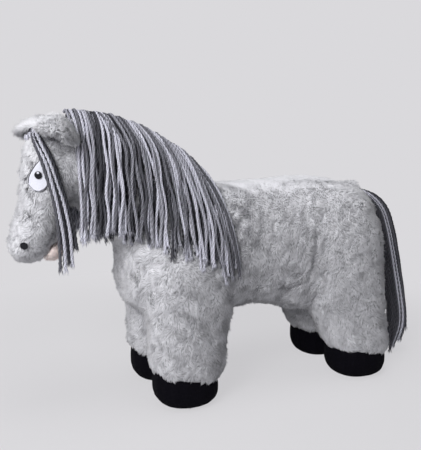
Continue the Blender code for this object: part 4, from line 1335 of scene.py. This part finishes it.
for side in ("left", "right"):
    outward = outward_of(side)
    node = "forelock_" + side
    chance = np.random.default_rng(FORELOCK_SEED[side])
    rows = lock_probe(node, outward)
    blocks = []
    for share, shade, depth, cut in FORELOCK_STRANDS:
        path = []
        for z, x0, x1, xs, ys in rows:
            fallen = fallen_share(rows, z)
            x = (x0 + x1) / 2 + (x1 - x0) * (share - 0.5) * (0.8 + 0.4 * fallen) + 0.002 * fallen
            y = float(np.interp(x, xs, ys)) - HALF_STRAND - depth
            if z > rows[-1][0] + cut:
                path.append((x + 0.0006 * math.sin(9 * fallen + 20 * share), outward * y, z))
        path = [(path[0][0], outward * 0.004, path[0][2] + 0.0004)] + path
        blocks += strand(path, shade, chance, radius=THICK_YARN_RADIUS)
    piece = piece_from("forelock_yarn_" + side, blocks, YARN)
    settle(piece, "mane_yarn", node, body="forelock_" + side)
print("forelock hung")

# %% [markdown]
# The tail is three locks of darker yarn. They leave the rump backwards and hang down behind the hind legs,
# so their solids are probed from behind and from the front, and the strands are spread between both faces.
# A table gives the mean shade of the strands from the front face to the rear one, and the strands at the
# rear are cut shorter, so the tail ends in a slant.
# %% Hang the tail
# Each layer: its place from the front face of the lock to the rear one, and its mean shade.
# The layers near the front face are partly painted light, against the shadow that the hind leg casts on
# them.
TAIL_LAYERS = ((0.0, 0.48), (0.16, 0.98), (0.32, 0.46), (0.48, 0.90),
               (0.64, 0.30), (0.80, 0.52), (0.94, 0.20))
TAIL_ACROSS = (0.12, 0.5, 0.88)
TAIL_SEED = {"left": 61, "centre": 62, "right": 63}
TAIL_LEVELS = 30
TAIL_PROBES = 15
SLANT = 0.026
TIP_START, TIP_LENGTH = 0.82, 0.18
TIP_FORWARD = 0.011


def tail_probe(node):
    """For a set of heights, where the lock starts and ends along Y and along X."""
    tree = tree_of([node])
    low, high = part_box(node)
    rows = []
    for z in np.linspace(high.z - 0.001, low.z + 0.001, TAIL_LEVELS):
        hits = []
        for y in np.linspace(low.y + 0.0002, high.y - 0.0002, TAIL_PROBES):
            back = tree.ray_cast(Vector((0.5, y, z)), Vector((-1, 0, 0)), 1.0)[0]
            front = tree.ray_cast(Vector((0.0, y, z)), Vector((1, 0, 0)), 1.0)[0]
            if back is not None and front is not None:
                hits.append((y, front.x, back.x))
        if len(hits) > 1:
            rows.append((z, hits[0][0], hits[-1][0], np.mean([h[1] for h in hits]),
                         np.mean([h[2] for h in hits])))
    return rows


def tail_path(rows, across, deep, chance):
    """The path of one strand of the tail, from inside the rump to its end."""
    sway = chance.normal(0, 0.0012)
    wobble = chance.uniform(0, 6.28)
    cut = chance.uniform(-0.004, 0.008) + SLANT * deep ** 1.5
    path = []
    for z, y0, y1, x0, x1 in rows:
        fallen = fallen_share(rows, z)
        y = y0 + (y1 - y0) * (across + 0.05 * math.sin(wobble + 8 * fallen))
        x = x0 + (x1 - x0) * (deep + 0.04 * math.sin(wobble * 1.7 + 6 * fallen)) + sway * fallen
        x -= TIP_FORWARD * (1 - deep) * max(0.0, fallen - TIP_START) / TIP_LENGTH
        if z > rows[-1][0] + cut:
            path.append((x, y, z))
    return [(path[0][0] - 0.006, 0.3 * path[0][1], path[0][2] - 0.001)] + path


for lock in ("left", "centre", "right"):
    chance = np.random.default_rng(TAIL_SEED[lock])
    rows = tail_probe("tail_lock_" + lock)
    blocks = []
    for across in TAIL_ACROSS:
        for deep, mean in TAIL_LAYERS:
            path = tail_path(rows, across, deep, chance)
            shade = float(np.clip(mean + chance.normal(0, 0.07), 0.06, 0.95))
            blocks += strand(path, shade, chance, radius=TAIL_YARN_RADIUS)
    piece = piece_from("tail_yarn_" + lock, blocks, YARN)
    settle(piece, "tail_yarn", "tail_lock_" + lock, body="tail_" + lock)
print("tail hung")

# %% [markdown]
# The tail's locks are sewn on at a short stub of fur on the rump. It is made as the ears and the lip are,
# with a wider and looser pile that leads over into the yarn.
# %% Cover the tail's stub
STUB_LOCKS_PER_AREA = 500000


def stub_shade(points):
    return 0.55 + 0.05 * waves(points, 0.01, 5)


stub = small_plush("tail_stub", "tail_stub_fur", 6, 0.5, FUR, per_area=STUB_LOCKS_PER_AREA, length=0.005,
                   width=0.0015, fall=(0.6, 0.0, -0.8), shade=stub_shade, seed=95)
settle(stub, "fur", "tail_stub", fill=0.8)
print("stub covered")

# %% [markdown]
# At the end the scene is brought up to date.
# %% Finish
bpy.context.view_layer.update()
